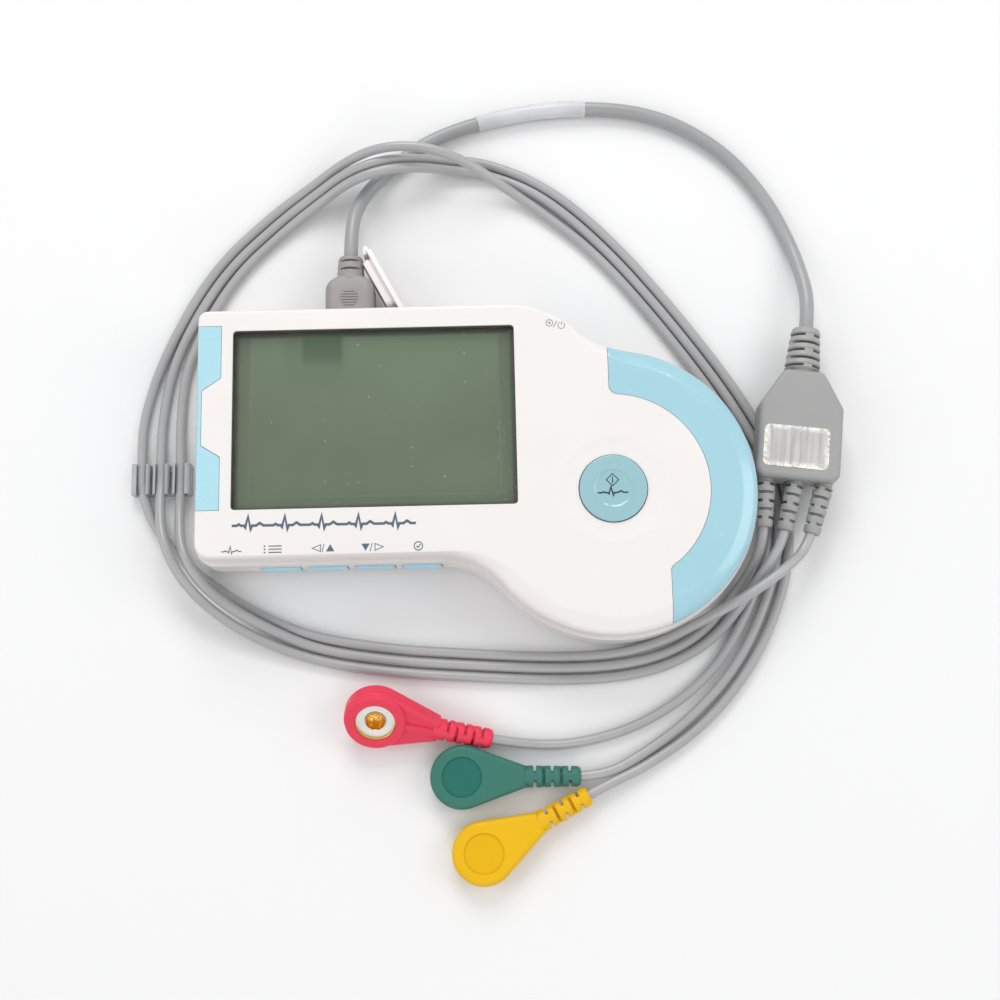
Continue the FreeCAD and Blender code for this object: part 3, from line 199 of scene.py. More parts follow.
def shared_group(name: str, inputs: Sequence[str], outputs: Sequence[str],
                 build: Callable[[Graph, Node], Sequence[Socket]]) -> bpy.types.NodeTree:
    """Shader node group, built once and used by several materials.

    Args:
        name: Name of the group.
        inputs: Name of each value input.
        outputs: Name of each value output.
        build: Fills the group behind its input node and returns the outputs' sockets.

    Returns:
        The group's node tree.
    """
    if name not in bpy.data.node_groups:
        tree = bpy.data.node_groups.new(name, "ShaderNodeTree")
        for side, labels in (("INPUT", inputs), ("OUTPUT", outputs)):
            for label in labels:
                tree.interface.new_socket(name=label, in_out=side, socket_type="NodeSocketFloat")
        g = Graph(tree)
        made = build(g, tree.nodes.new("NodeGroupInput"))
        for slot, value in zip(tree.nodes.new("NodeGroupOutput").inputs, made):
            g.put(slot, value)
    return bpy.data.node_groups[name]


def moulded_grain() -> bpy.types.NodeTree:
    """Group of a moulded surface: fine grain height, slow tint variation and faint handling marks."""
    def build(g: Graph, entry: Node) -> list[Socket]:
        """Fill the group behind its input node and return its outputs."""
        where = g.coords()
        fine = g.add("TexNoise", Vector=where, Scale=entry.outputs["Grain Scale"], Detail=3.0, Roughness=0.6)
        return [fine.outputs["Fac"], g.ramp(g.speckle(where, 0.055), 0.3, 0.7),
                g.ramp(g.speckle(where, 0.12), 0.45, 0.8)]
    return shared_group("moulded_grain", ["Grain Scale"], ["Height", "Drift", "Smear"], build)


def dust_specks() -> bpy.types.NodeTree:
    """Group of sparse dust: a mask of small specks of uneven size in a given share of cells."""
    def build(g: Graph, entry: Node) -> list[Socket]:
        """Fill the group behind its input node and return its outputs."""
        cells = g.add("TexVoronoi", feature="F1", voronoi_dimensions="2D", Vector=g.coords(),
                      Scale=entry.outputs["Cells per mm"])
        pick = g.add("SeparateColor", Color=cells.outputs["Color"])
        uneven = g.math("MULTIPLY_ADD", pick.outputs["Green"], 0.9, 0.3)
        reach = g.math("MULTIPLY", entry.outputs["Size"], uneven)
        near = g.math("LESS_THAN", cells.outputs["Distance"], reach)
        rare = g.math("LESS_THAN", pick.outputs["Red"], entry.outputs["Share"])
        return [g.math("MULTIPLY", near, rare)]
    return shared_group("dust_specks", ["Cells per mm", "Size", "Share"], ["Mask"], build)


# ---------------------------------------------------------------- finishes

def shade(tint: Rgb, factor: float) -> Rgb:
    """Colour with its brightness multiplied."""
    return tuple(c * factor for c in tint)


@dataclass(frozen=True)
class Finish:
    """What every finish has: a material's name and the record's slot that it stands for."""

    name: str
    slot: str

    def material(self) -> bpy.types.Material:
        """Build the material once and return it."""
        name = self.name + "_finish"
        if name not in bpy.data.materials:
            made = bpy.data.materials.new(name)
            made.use_nodes = True
            self.paint(Graph(made.node_tree), made.node_tree.nodes["Principled BSDF"])
        return bpy.data.materials[name]

    def paint(self, g: Graph, shader: Node) -> None:
        """Fill the node tree; each finish has its own.

        Args:
            g: Node tree.
            shader: Principled shader that gets the values.
        """
        raise NotImplementedError

    def skin(self, g: Graph, grain: float) -> Node:
        """Node of the shared moulded grain, with its grains per millimetre."""
        return g.add("Group", node_tree=moulded_grain(), Grain_Scale=grain)

    def relief(self, g: Graph, shader: Node, height: Socket, strength: float, distance: float) -> None:
        """Feed a height to the shader's normal, with the bump's strength and its depth in metres."""
        bump = g.add("Bump", Strength=strength, Distance=distance, Height=height)
        g.feed(shader, Normal=bump.outputs["Normal"])


@dataclass(frozen=True)
class Tinted(Finish):
    """Finish of one base colour, which drifts slowly and is dulled by handling."""

    tint: Rgb
    rough: float = 0.4

    def colour(self, g: Graph, skin: Node, fade: float) -> Socket:
        """Base colour, of which the slow drift takes a share away."""
        return g.mix(skin.outputs["Drift"], self.tint, shade(self.tint, 1.0 - fade))

    def wear(self, g: Graph, shader: Node, grain: float, fade: float, smear: float) -> Node:
        """Feed the base colour and the roughness.

        Args:
            g: Node tree.
            shader: Principled shader.
            grain: Grains per millimetre.
            fade: Share of the base colour that its drift takes away.
            smear: Roughness that handling adds.

        Returns:
            Node of the moulded grain.
        """
        skin = self.skin(g, grain)
        rough = g.math("MULTIPLY_ADD", skin.outputs["Smear"], smear, self.rough)
        g.feed(shader, Base_Color=self.colour(g, skin, fade), Roughness=rough)
        return skin


@dataclass(frozen=True)
class Moulded(Tinted):
    """Moulded plastic or rubber.

    Attributes:
        grain: Grains per millimetre.
        depth: Strength of the grain's bump.
        drift: How much the tint darkens over the part.
        coat: Weight of a glossy skin.
        glow: Share of light that passes a little way under the surface.
        dust: Share of dust cells that hold a speck.
        shine: Level of its plain reflection; 0.5 is that of common plastic.
    """

    grain: float = 6.0
    depth: float = 0.05
    drift: float = 0.03
    coat: float = 0.0
    glow: float = 0.0
    dust: float = 0.0
    shine: float = 0.5

    def colour(self, g: Graph, skin: Node, fade: float) -> Socket:
        """Base colour with its drift and any dust on it.

        Args:
            g: Node tree.
            skin: Node of the moulded grain.
            fade: Share of the base colour that its drift takes away.

        Returns:
            The colour output.
        """
        base = super().colour(g, skin, fade)
        if not self.dust:
            return base
        specks = g.add("Group", node_tree=dust_specks(), Cells_per_mm=0.6, Size=0.12, Share=self.dust)
        return g.mix(specks.outputs["Mask"], base, (0.8, 0.8, 0.78))

    def paint(self, g: Graph, shader: Node) -> None:
        """Fill the node tree."""
        skin = self.wear(g, shader, self.grain, self.drift * 2.0, 0.10)
        self.relief(g, shader, skin.outputs["Height"], self.depth, 0.0002)
        g.feed(shader, Specular_IOR_Level=self.shine, Coat_Weight=self.coat, Coat_Roughness=0.12)
        if self.glow:
            g.feed(shader, Subsurface_Weight=self.glow, Subsurface_Radius=(0.8, 0.5, 0.4),
                   Subsurface_Scale=0.001)


@dataclass(frozen=True)
class WhiteWithLowShade(Moulded):
    """White shell plastic, dulled in patches by handling, with painted shade that greys it low on its walls.
    """

    low_shade_tint: Rgb = (0.76, 0.735, 0.715)
    grey_from: float = 12.0
    grey_to: float = 1.0

    def colour(self, g: Graph, skin: Node, fade: float) -> Socket:
        """Base colour with painted shade that greys it towards the base."""
        # Painted shade low on the walls, its strength uneven in patches.
        shade_patchiness = g.math("MULTIPLY_ADD", skin.outputs["Smear"], 0.5, 0.5)
        grey = g.math("MULTIPLY", g.ramp(g.axes()[2], self.grey_from, self.grey_to), shade_patchiness)
        return g.mix(grey, super().colour(g, skin, fade), self.low_shade_tint)


@dataclass(frozen=True)
class PlugWithSideShade(Moulded):
    """Plug overmoulding, with painted shade that darkens its rounded sides so that its flat top stands
    lighter.
    """

    middle: float = -29.8
    side: float = 4.6
    flat: float = 4.0

    def colour(self, g: Graph, skin: Node, fade: float) -> Socket:
        """Base colour, with painted shade on the rounded sides and the flat top left lighter."""
        top = g.ramp(g.away(g.axes()[0], self.middle), self.side, self.flat)
        # Painted shade: outside the flat top the sides take a darker copy of the tint.
        return g.mix(top, shade(self.tint, 0.88), super().colour(g, skin, fade))


@dataclass(frozen=True)
class SnapSkin(Moulded):
    """Snap housing whose round thumb disc has a slightly deeper colour."""

    disc: Spot = (0.0, 0.0)
    disc_radius: float = 4.6
    disc_tint: Rgb = (0.0, 0.0, 0.0)

    def colour(self, g: Graph, skin: Node, fade: float) -> Socket:
        """Base colour, deeper on the disc."""
        squares = [g.math("POWER", g.math("SUBTRACT", axis, middle), 2.0)
                   for axis, middle in zip(g.axes(), self.disc)]
        away = g.math("SQRT", g.math("ADD", *squares))
        mask = g.ramp(away, self.disc_radius + 0.06, self.disc_radius - 0.06)
        return g.mix(mask, super().colour(g, skin, fade), self.disc_tint)


@dataclass(frozen=True)
class Metal(Tinted):
    """Plated or brushed metal."""

    rough: float = 0.25
    scratch: float = 0.1
    grain: float = 9.0

    def paint(self, g: Graph, shader: Node) -> None:
        """Fill the node tree."""
        skin = self.wear(g, shader, self.grain, 0.18, 0.15)
        g.feed(shader, Metallic=1.0)
        self.relief(g, shader, skin.outputs["Height"], self.scratch, 0.0001)


@dataclass(frozen=True)
class Clear(Tinted):
    """Clear or smoky plastic."""

    passing: float = 1.0
    index: float = 1.45

    def paint(self, g: Graph, shader: Node) -> None:
        """Fill the node tree."""
        self.wear(g, shader, 6.0, 0.03, 0.05)
        g.feed(shader, Transmission_Weight=self.passing, IOR=self.index)


@dataclass(frozen=True)
class DisplayGlass(Finish):
    """Grey-green liquid crystal panel with margins darkened as a dark gasket and painted shade, painted light
    towards the back, a paler border, the driver's dark patch and dust.

    Attributes:
        tint: Colour of the picture area.
        lit: Its colour towards the back edge, where the panel is painted lighter as painted light.
        border: Colour of the border round it.
        line: Colour of the fine line between them.
        gasket_and_shade: Colour along the opening's edge, partly a dark gasket and partly painted shade of
            the recess walls.
        patch: Colour of the dark patch at the back edge.
        speck: Colour of a speck of dust.
        opening: Low and high corner of the screen opening.
        picture: Low and high corner of the picture area.
        dust: Cells per millimetre, size, share, least x and strength of each layer of dust.
    """

    tint: Rgb = (0.212, 0.282, 0.178)
    lit: Rgb = (0.240, 0.328, 0.210)
    border: Rgb = (0.206, 0.274, 0.170)
    line: Rgb = (0.27, 0.34, 0.235)
    gasket_and_shade: Rgb = (0.120, 0.134, 0.086)
    patch: Rgb = (0.120, 0.196, 0.106)
    speck: Rgb = (0.85, 0.9, 0.82)
    opening: tuple[Spot, Spot] = ((-56.1, -17.4), (9.4, 25.2))
    picture: tuple[Spot, Spot] = ((-52.5, -14.3), (5.7, 23.9))
    dust: Sequence[tuple[float, ...]] = ((0.4, 0.06, 0.13, -90.0, 0.8), (1.1, 0.13, 0.3, 2.8, 0.9))

    def inside(self, g: Graph, box: tuple[Spot, Spot], soft: float, inset: float = 0.0) -> Socket:
        """Mask of a rectangle with soft edges.

        Args:
            g: Node tree.
            box: Low and high corner.
            soft: Width of the soft edge.
            inset: Distance that the mask keeps from the box.

        Returns:
            Value that is 1 inside.
        """
        mask: object = 1.0
        for value, low, high in zip(g.axes(), *box):
            mask = g.math("MULTIPLY", mask, g.ramp(value, low + inset, low + inset + soft))
            mask = g.math("MULTIPLY", mask, g.ramp(value, high - inset, high - inset - soft))
        return mask

    def paint(self, g: Graph, shader: Node) -> None:
        """Fill the node tree."""
        x, y, _ = g.axes()
        where = g.coords()
        uneven = g.ramp(g.speckle(where, 0.03, 1.0), 0.35, 0.65)
        # Painted light: the picture area grows lighter towards the back edge.
        colour = g.mix(g.ramp(y, -2.0, 26.0), g.mix(uneven, self.tint, shade(self.tint, 0.95)), self.lit)
        colour = g.mix(self.inside(g, self.picture, 0.2), self.border, colour)
        rim = g.math("SUBTRACT", self.inside(g, self.picture, 0.2, -0.15),
                     self.inside(g, self.picture, 0.2, 0.1))
        colour = g.mix(g.math("MULTIPLY", rim, 0.5), colour, self.line)
        core = g.math("MULTIPLY", g.ramp(g.away(x, -35.6), 5.3, 4.0), g.ramp(y, 16.2, 20.2))
        halo = g.math("MULTIPLY", g.ramp(g.away(x, -37.5), 10.0, 4.0),
                      g.math("MULTIPLY", g.ramp(y, 8.0, 24.0), 0.45))
        for dark in (core, halo):
            colour = g.mix(dark, colour, self.patch)
        # Dark gasket band along the opening's edge, with painted shade of the recess walls on it.
        colour = g.mix(self.inside(g, self.opening, 0.9, 0.55), self.gasket_and_shade, colour)
        for cells, size, share, start, strength in self.dust:
            specks = g.add("Group", node_tree=dust_specks(), Cells_per_mm=cells, Size=size, Share=share)
            patches = g.ramp(g.speckle(where, 0.16), 0.42, 0.6)
            patchy = g.math("MULTIPLY", g.ramp(x, start, start + 4.5), patches)
            strong = g.math("MULTIPLY", g.math("MULTIPLY", specks.outputs["Mask"], strength), patchy)
            colour = g.mix(strong, colour, self.speck)
        g.feed(shader, Base_Color=colour, Roughness=0.5, Specular_IOR_Level=0.3)


@dataclass(frozen=True)
class CrinkledFoil(Finish):
    """Silver film: streaks along it, and a painted highlight with warm painted glints on the crinkled rim
    where the mesh says "rim".
    """

    turn: float = 7.0
    streaked: tuple[Rgb, Rgb] = ((0.59, 0.575, 0.545), (0.68, 0.665, 0.63))
    painted_highlight: Rgb = (1.0, 0.99, 0.96)
    painted_glint_tint: Rgb = (1.0, 0.88, 0.72)

    def paint(self, g: Graph, shader: Node) -> None:
        """Fill the node tree."""
        lengthwise = g.coords((1000.0, 60.0, 1000.0), self.turn)
        streaks = g.ramp(g.speckle(lengthwise, 0.9, 4.0), 0.32, 0.68)
        rim = g.add("Attribute", attribute_name="rim").outputs["Fac"]
        wrinkle = g.speckle(g.coords(), 0.7, 3.0, 1.2)
        # Painted highlight on the crests of the crinkled rim, which are also made less metallic.
        crest_highlight = g.math("MULTIPLY", rim, g.ramp(wrinkle, 0.34, 0.6))
        colour = g.mix(crest_highlight, g.mix(streaks, *self.streaked), self.painted_highlight)
        # Warm painted glints on some of the highlighted crests.
        painted_glint = g.math("MULTIPLY", crest_highlight, g.ramp(g.speckle(g.coords(), 0.3), 0.5, 0.6))
        g.feed(shader, Base_Color=g.mix(painted_glint, colour, self.painted_glint_tint),
               Metallic=g.math("MULTIPLY_ADD", crest_highlight, -0.55, 0.72),
               Roughness=g.math("MULTIPLY_ADD", streaks, 0.14, 0.26))
        height = g.math("MULTIPLY_ADD", streaks, 0.07, g.math("MULTIPLY", wrinkle, rim))
        self.relief(g, shader, height, 0.4, 0.0004)


@dataclass(frozen=True)
class CellJacket(Finish):
    """Printed cell jacket: dark sleeve with a coppery band at one end."""

    dark: Rgb = (0.04, 0.055, 0.09)
    copper: Rgb = (0.55, 0.30, 0.12)

    def paint(self, g: Graph, shader: Node) -> None:
        """Fill the node tree."""
        band = g.ramp(g.axes()[0], -22.2, -22.0)
        g.feed(shader, Base_Color=g.mix(band, self.dark, self.copper), Roughness=0.28, Coat_Weight=0.5)
        self.relief(g, shader, self.skin(g, 3.0).outputs["Height"], 0.05, 0.0002)


SHELL = WhiteWithLowShade("shell_white", "shell_white", (0.775, 0.745, 0.722), 0.36, 5.0, 0.05, 0.01, 0.12, 0.05)
# Painted light: the port cover takes a brighter, pinker copy of the shell white, lifted against the shade on
# its inner face.
COVER = Moulded("cover_white_lit_copy", "shell_white", (0.84, 0.785, 0.79), 0.36, 5.0, 0.05, 0.01, glow=0.1)
GRIP = Moulded("grip_blue", "grip_blue", (0.335, 0.580, 0.660), 0.24, 5.0, 0.03, 0.015, 0.6)
# Painted light: the left grip takes a lighter copy of the same blue rubber as the arc grip.
LIT_LEFT_GRIP = Moulded("grip_blue_lit_copy", "grip_blue", (0.385, 0.650, 0.735), 0.26, 5.0, 0.03, 0.015, 0.4)
START = Moulded("start_blue", "button_blue", (0.285, 0.490, 0.540), 0.2, 5.0, 0.03, 0.02, 0.6)
KEYS = Moulded("key_blue", "key_blue", (0.400, 0.650, 0.770), 0.3, 5.0, 0.03, 0.03, 0.3)
CORD = Moulded("cord_grey", "cord_grey", (0.322, 0.332, 0.338), 0.38, 3.0, 0.06, 0.04, 0.25)
LEAD = Moulded("lead_grey", "cord_grey", (0.382, 0.380, 0.383), 0.34, 3.0, 0.06, 0.03, 0.4)
PLUG = PlugWithSideShade("plug_grey", "plug_grey", (0.315, 0.295, 0.285), 0.5, 6.0, 0.12, 0.04)
YOKE = Moulded("yoke_grey", "yoke_grey", (0.325, 0.325, 0.32), 0.52, 7.0, 0.25, 0.03)
RELIEF = Moulded("relief_grey", "relief_grey", (0.335, 0.333, 0.328), 0.48, 6.0, 0.12, 0.03)
RED = Moulded("snap_red", "snap_red", (0.76, 0.042, 0.088), 0.4, 5.0, 0.10, 0.02, shine=0.3)
GREEN = SnapSkin("snap_green", "snap_green", (0.042, 0.172, 0.135), 0.42, 5.0, 0.12, 0.02, shine=0.25,
                 disc=(-4.9, -78.1), disc_tint=(0.018, 0.140, 0.112))
YELLOW = SnapSkin("snap_yellow", "snap_yellow", (0.75, 0.435, 0.004), 0.42, 5.0, 0.10, 0.02, shine=0.25,
                  disc=(-0.15, -95.2), disc_tint=(0.72, 0.41, 0.001))
BLACK = Moulded("switch_black", "switch_black", (0.02, 0.02, 0.022))
SEAL = Moulded("seal_dark", "foot_rubber", (0.095, 0.095, 0.072), 0.6, 4.0, 0.1, 0.05)
RUBBER = Moulded("foot_rubber", "foot_rubber", (0.10, 0.10, 0.105), 0.7, 4.0, 0.2, 0.05, dust=0.1)
BOARD = Moulded("board_green", "board", (0.02, 0.13, 0.05), 0.3, 3.0, 0.1, 0.05, 0.4)
TAG = Moulded("tag_white", "shell_white", (0.86, 0.87, 0.90), 0.5, 4.0, 0.05, 0.02)
PRINT = Moulded("print_slate", "switch_black", (0.085, 0.115, 0.165), 0.55, 4.0, 0.03, 0.02)
PRINT_PALE = Moulded("print_grey", "switch_black", (0.17, 0.19, 0.23), 0.55, 4.0, 0.03, 0.02)
PRINT_DARK = Moulded("print_black", "switch_black", (0.012, 0.03, 0.034), 0.5, 4.0, 0.03, 0.02)
WELL = Moulded("well_white", "shell_white", (0.97, 0.97, 0.96), 0.35, 4.0, 0.05, 0.0, 0.3, 0.4)
FLOOR = Moulded("floor_pale", "", (0.785, 0.785, 0.785), 0.75, 0.5, 0.0, 0.0)
JACKET = CellJacket("cell_jacket", "cell_jacket")
PANEL = DisplayGlass("display_panel", "lcd_panel")
FOIL = CrinkledFoil("silver_film", "foil")
STEEL = Metal("plain_steel", "steel", (0.62, 0.62, 0.62), 0.3)
CHROME = Metal("polished_steel", "electrode_steel", (0.72, 0.72, 0.72), 0.12, 0.04)
NICKEL = Metal("nickel_plate", "contact_steel", (0.66, 0.64, 0.60), 0.28)
GOLD = Metal("gold_plate", "stud_gold", (0.86, 0.52, 0.14), 0.2, 0.05)
STUD = Metal("gold_worn", "stud_gold", (0.88, 0.52, 0.13), 0.14, 0.9, 1.1)
WINDOW = Clear("clear_window", "window", (0.97, 0.98, 0.97), 0.02)
SLEEVE = Clear("clear_sleeve", "sleeve_clear", (0.95, 0.955, 0.98), 0.2, 0.58, 1.3)
SMOKE = Clear("smoky_clip", "clip_grey", (0.66, 0.66, 0.70), 0.2, 0.4, 1.35)


# ---------------------------------------------------------------- making pieces

def shift(x: float, y: float, z: float = 0.0) -> Matrix:
    """Move by millimetres."""
    return Matrix.Translation((x * MM, y * MM, z * MM))


def spin(degrees: float, axis: str = "Z") -> Matrix:
    """Turn about an axis."""
    return Matrix.Rotation(math.radians(degrees), 4, axis)


def only(piece: Piece) -> None:
    """Make a piece the only selected and the active object."""
    bpy.ops.object.select_all(action="DESELECT")
    piece.select_set(True)
    bpy.context.view_layer.objects.active = piece


def linked(name: str, data: bpy.types.ID) -> Piece:
    """New object of some data, in the scene."""
    piece = bpy.data.objects.new(name, data)
    bpy.context.scene.collection.objects.link(piece)
    return piece


def primitive(kind: str, name: str, **settings: object) -> Piece:
    """New mesh primitive at the origin.

    Args:
        kind: Which primitive.
        name: Name of the piece.
        settings: What its operator takes.

    Returns:
        The piece.
    """
    bpy.ops.object.select_all(action="DESELECT")
    getattr(bpy.ops.mesh, f"primitive_{kind}_add")(location=ORIGIN, **settings)
    piece = bpy.context.object
    piece.name = piece.data.name = name
    return piece


@contextmanager
def editing(piece: Piece, outwards: bool = True) -> Iterator[None]:
    """Edit mode on one piece, with all of it selected.

    Args:
        piece: The piece.
        outwards: Whether its faces are turned outwards in the end.

    Yields:
        Nothing, once the piece is in edit mode.
    """
    only(piece)
    bpy.ops.object.mode_set(mode="EDIT")
    select_all()
    yield
    if outwards:
        select_all()
        bpy.ops.mesh.normals_make_consistent(inside=False)
    bpy.ops.object.mode_set(mode="OBJECT")


def select_all(action: str = "SELECT") -> None:
    """Select all of the edited mesh, or none of it."""
    bpy.ops.mesh.select_all(action=action)


def move(x: float, y: float, z: float) -> None:
    """Move what is selected."""
    bpy.ops.transform.translate(value=(x * MM, y * MM, z * MM))


def stretch(wide: float, deep: float, level: float = 0.0) -> None:
    """Scale what is selected in x and y about a height."""
    bpy.ops.transform.resize(value=(wide, deep, 1.0), center_override=(0.0, 0.0, level * MM))


def extrude(rise: float, kind: str = "region") -> None:
    """Extrude the selected region, or the selected edges, upwards."""
    getattr(bpy.ops.mesh, f"extrude_{kind}_move")(TRANSFORM_OT_translate={"value": (0.0, 0.0, rise * MM)})


def placed(piece: Piece, body: str, finish: Finish, replaced: Iterable[str] = ()) -> Piece:
    """Dress a new piece and tie it to its body.

    Args:
        piece: The new piece.
        body: Body that it rides on.
        finish: Its finish, put first among its materials.
        replaced: CAD nodes that it stands for.

    Returns:
        The piece.
    """
    if not len(piece.data.materials):
        piece.data.materials.append(finish.material())
    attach(piece, body)
    if replaced:
        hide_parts(*replaced)
    log.info("%s, %d faces", piece.name, len(piece.data.polygons) if piece.type == "MESH" else 0)
    return piece


def apply_modifier(piece: Piece, kind: str, **settings: object) -> None:
    """Add a modifier and apply it at once.

    Args:
        piece: The piece.
        kind: Modifier type.
        settings: Properties of the modifier.
    """
    only(piece)
    modifier = piece.modifiers.new(kind.lower(), kind)
    for key, value in settings.items():
        setattr(modifier, key, value)
    bpy.ops.object.modifier_apply(modifier=modifier.name)


def thicken(piece: Piece, thick: float, offset: float) -> None:
    """Give a sheet its thickness in millimetres, to one side or both."""
    apply_modifier(piece, "SOLIDIFY", thickness=thick * MM, offset=offset)


def round_edges(piece: Piece, radius: float, segments: int, angle: float) -> None:
    """Round edges sharper than an angle in degrees, by a radius."""
    apply_modifier(piece, "BEVEL", width=radius * MM, segments=segments, limit_method="ANGLE",
                   angle_limit=math.radians(angle), use_clamp_overlap=True)


def soften(piece: Piece, angle: float) -> None:
    """Smooth shading up to an angle in degrees, the larger faces keeping their own direction."""
    only(piece)
    bpy.ops.object.shade_smooth_by_angle(angle=math.radians(angle))
    apply_modifier(piece, "WEIGHTED_NORMAL", mode="FACE_AREA", weight=50, keep_sharp=True)


def skinned(node: str, finish: Finish, angle: float, rounding: float = 0.0) -> Piece:
    """Merged and softly shaded copy of a CAD node, which it replaces.

    Args:
        node: Name of the CAD node.
        finish: Its finish.
        angle: Steepest edge in degrees that is shaded smooth.
        rounding: Radius in millimetres that its sharp edges get.

    Returns:
        The new piece.
    """
    source = frame["nodes"][node]
    piece = linked(node + "_skin", source.data.copy())
    piece.data.materials.clear()
    only(piece)
    bpy.ops.mesh.customdata_custom_splitnormals_clear()
    with editing(piece, outwards=False):
        bpy.ops.mesh.remove_doubles(threshold=2e-6)
        bpy.ops.mesh.dissolve_limited(angle_limit=math.radians(0.02))
    if rounding:
        round_edges(piece, rounding, 2, 50.0)
    soften(piece, angle)
    return placed(piece, source["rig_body"], finish, [node])


def dress(finish: Finish, *nodes: str) -> None:
    """Give a finish to CAD nodes that keep their own mesh.

    Args:
        finish: Finish whose material the nodes take.
        nodes: Names of the nodes.
    """
    for name in nodes:
        slots = frame["nodes"][name].data.materials
        slots.clear()
        slots.append(finish.material())


def turned(name: str, profile: Sequence[Spot], place: Matrix, segments: int = 48) -> Piece:
    """Ring or disc of revolution: a circle extruded along a profile and closed.

    Args:
        name: Name of the piece.
        profile: (radius, height) points, round the section and back to the start.
        place: Where the finished piece goes.
        segments: Corners of the circle.

    Returns:
        The new piece, its place in its mesh.
    """
    radius, height = profile[0]
    piece = primitive("circle", name, vertices=segments, radius=radius * MM)
    with editing(piece):
        move(0.0, 0.0, height)
        for next_radius, next_height in profile[1:]:
            extrude(next_height - height, "edges")
            stretch(next_radius / radius, next_radius / radius, next_height)
            radius, height = next_radius, next_height
        select_all()
        bpy.ops.mesh.remove_doubles(threshold=1e-7)
        select_all("DESELECT")
        bpy.ops.mesh.select_non_manifold()
        bpy.ops.mesh.bridge_edge_loops()
    piece.data.transform(place)
    soften(piece, 40.0)
    return piece


def spline_curve(name: str, route: Sequence[Point], resolution: int) -> bpy.types.Curve:
    """Curve that holds one smooth spline on a route.

    Args:
        name: Name of the curve.
        route: Points of the route.
        resolution: Steps between two points.

    Returns:
        The curve.
    """
    curve = bpy.data.curves.new(name, "CURVE")
    curve.dimensions = "3D"
    spline = curve.splines.new("NURBS")
    spline.points.add(len(route) - 1)
    for point, place in zip(spline.points, route):
        point.co = (*(c * MM for c in place), 1.0)
    spline.order_u = 3
    spline.use_endpoint_u = spline.use_smooth = True
    spline.resolution_u = resolution
    return curve


def centre_line(route: Sequence[Point]) -> list[Vector]:
    """Points along a route's spline, for what goes round the cord.

    Args:
        route: Points of the route.

    Returns:
        Points in metres.
    """
    curve = spline_curve("line", route, 24)
    holder = bpy.data.objects.new("line", curve)
    mesh = bpy.data.meshes.new_from_object(holder)
    points = [vertex.co.copy() for vertex in mesh.vertices]
    bpy.data.objects.remove(holder)
    bpy.data.curves.remove(curve)
    bpy.data.meshes.remove(mesh)
    return points


def swept(name: str, line: Sequence[Vector], radius: float, angles: Sequence[float], closed: bool) -> Piece:
    """Sheet or open tube wrapped round a line.

    Args:
        name: Name of the piece.
        line: Points of the line.
        radius: Distance from the line.
        angles: Angle in degrees from upright of each corner of the section.
        closed: Whether the section is closed.

    Returns:
        The new piece.
    """
    shape = bmesh.new()
    rings = []
    for index, here in enumerate(line):
        along = (line[min(index + 1, len(line) - 1)] - line[max(index - 1, 0)]).normalized()
        aside = along.cross(Vector((0.0, 0.0, 1.0))).normalized()
        up = aside.cross(along)
        ways = [up * math.cos(math.radians(a)) + aside * math.sin(math.radians(a)) for a in angles]
        rings.append([shape.verts.new(here + way * radius * MM) for way in ways])
    for low, high in zip(rings, rings[1:]):
        for k in range(len(angles) if closed else len(angles) - 1):
            n = (k + 1) % len(angles)
            shape.faces.new((low[k], low[n], high[n], high[k]))
    bmesh.ops.recalc_face_normals(shape, faces=shape.faces)
    return linked(name, finished(shape, name))


def finished(shape: bmesh.types.BMesh, name: str) -> bpy.types.Mesh:
    """Turn a worked shape into a mesh and free it.

    Args:
        shape: The shape.
        name: Name of the mesh.

    Returns:
        The mesh.
    """
    mesh = bpy.data.meshes.new(name)
    shape.to_mesh(mesh)
    shape.free()
    return mesh


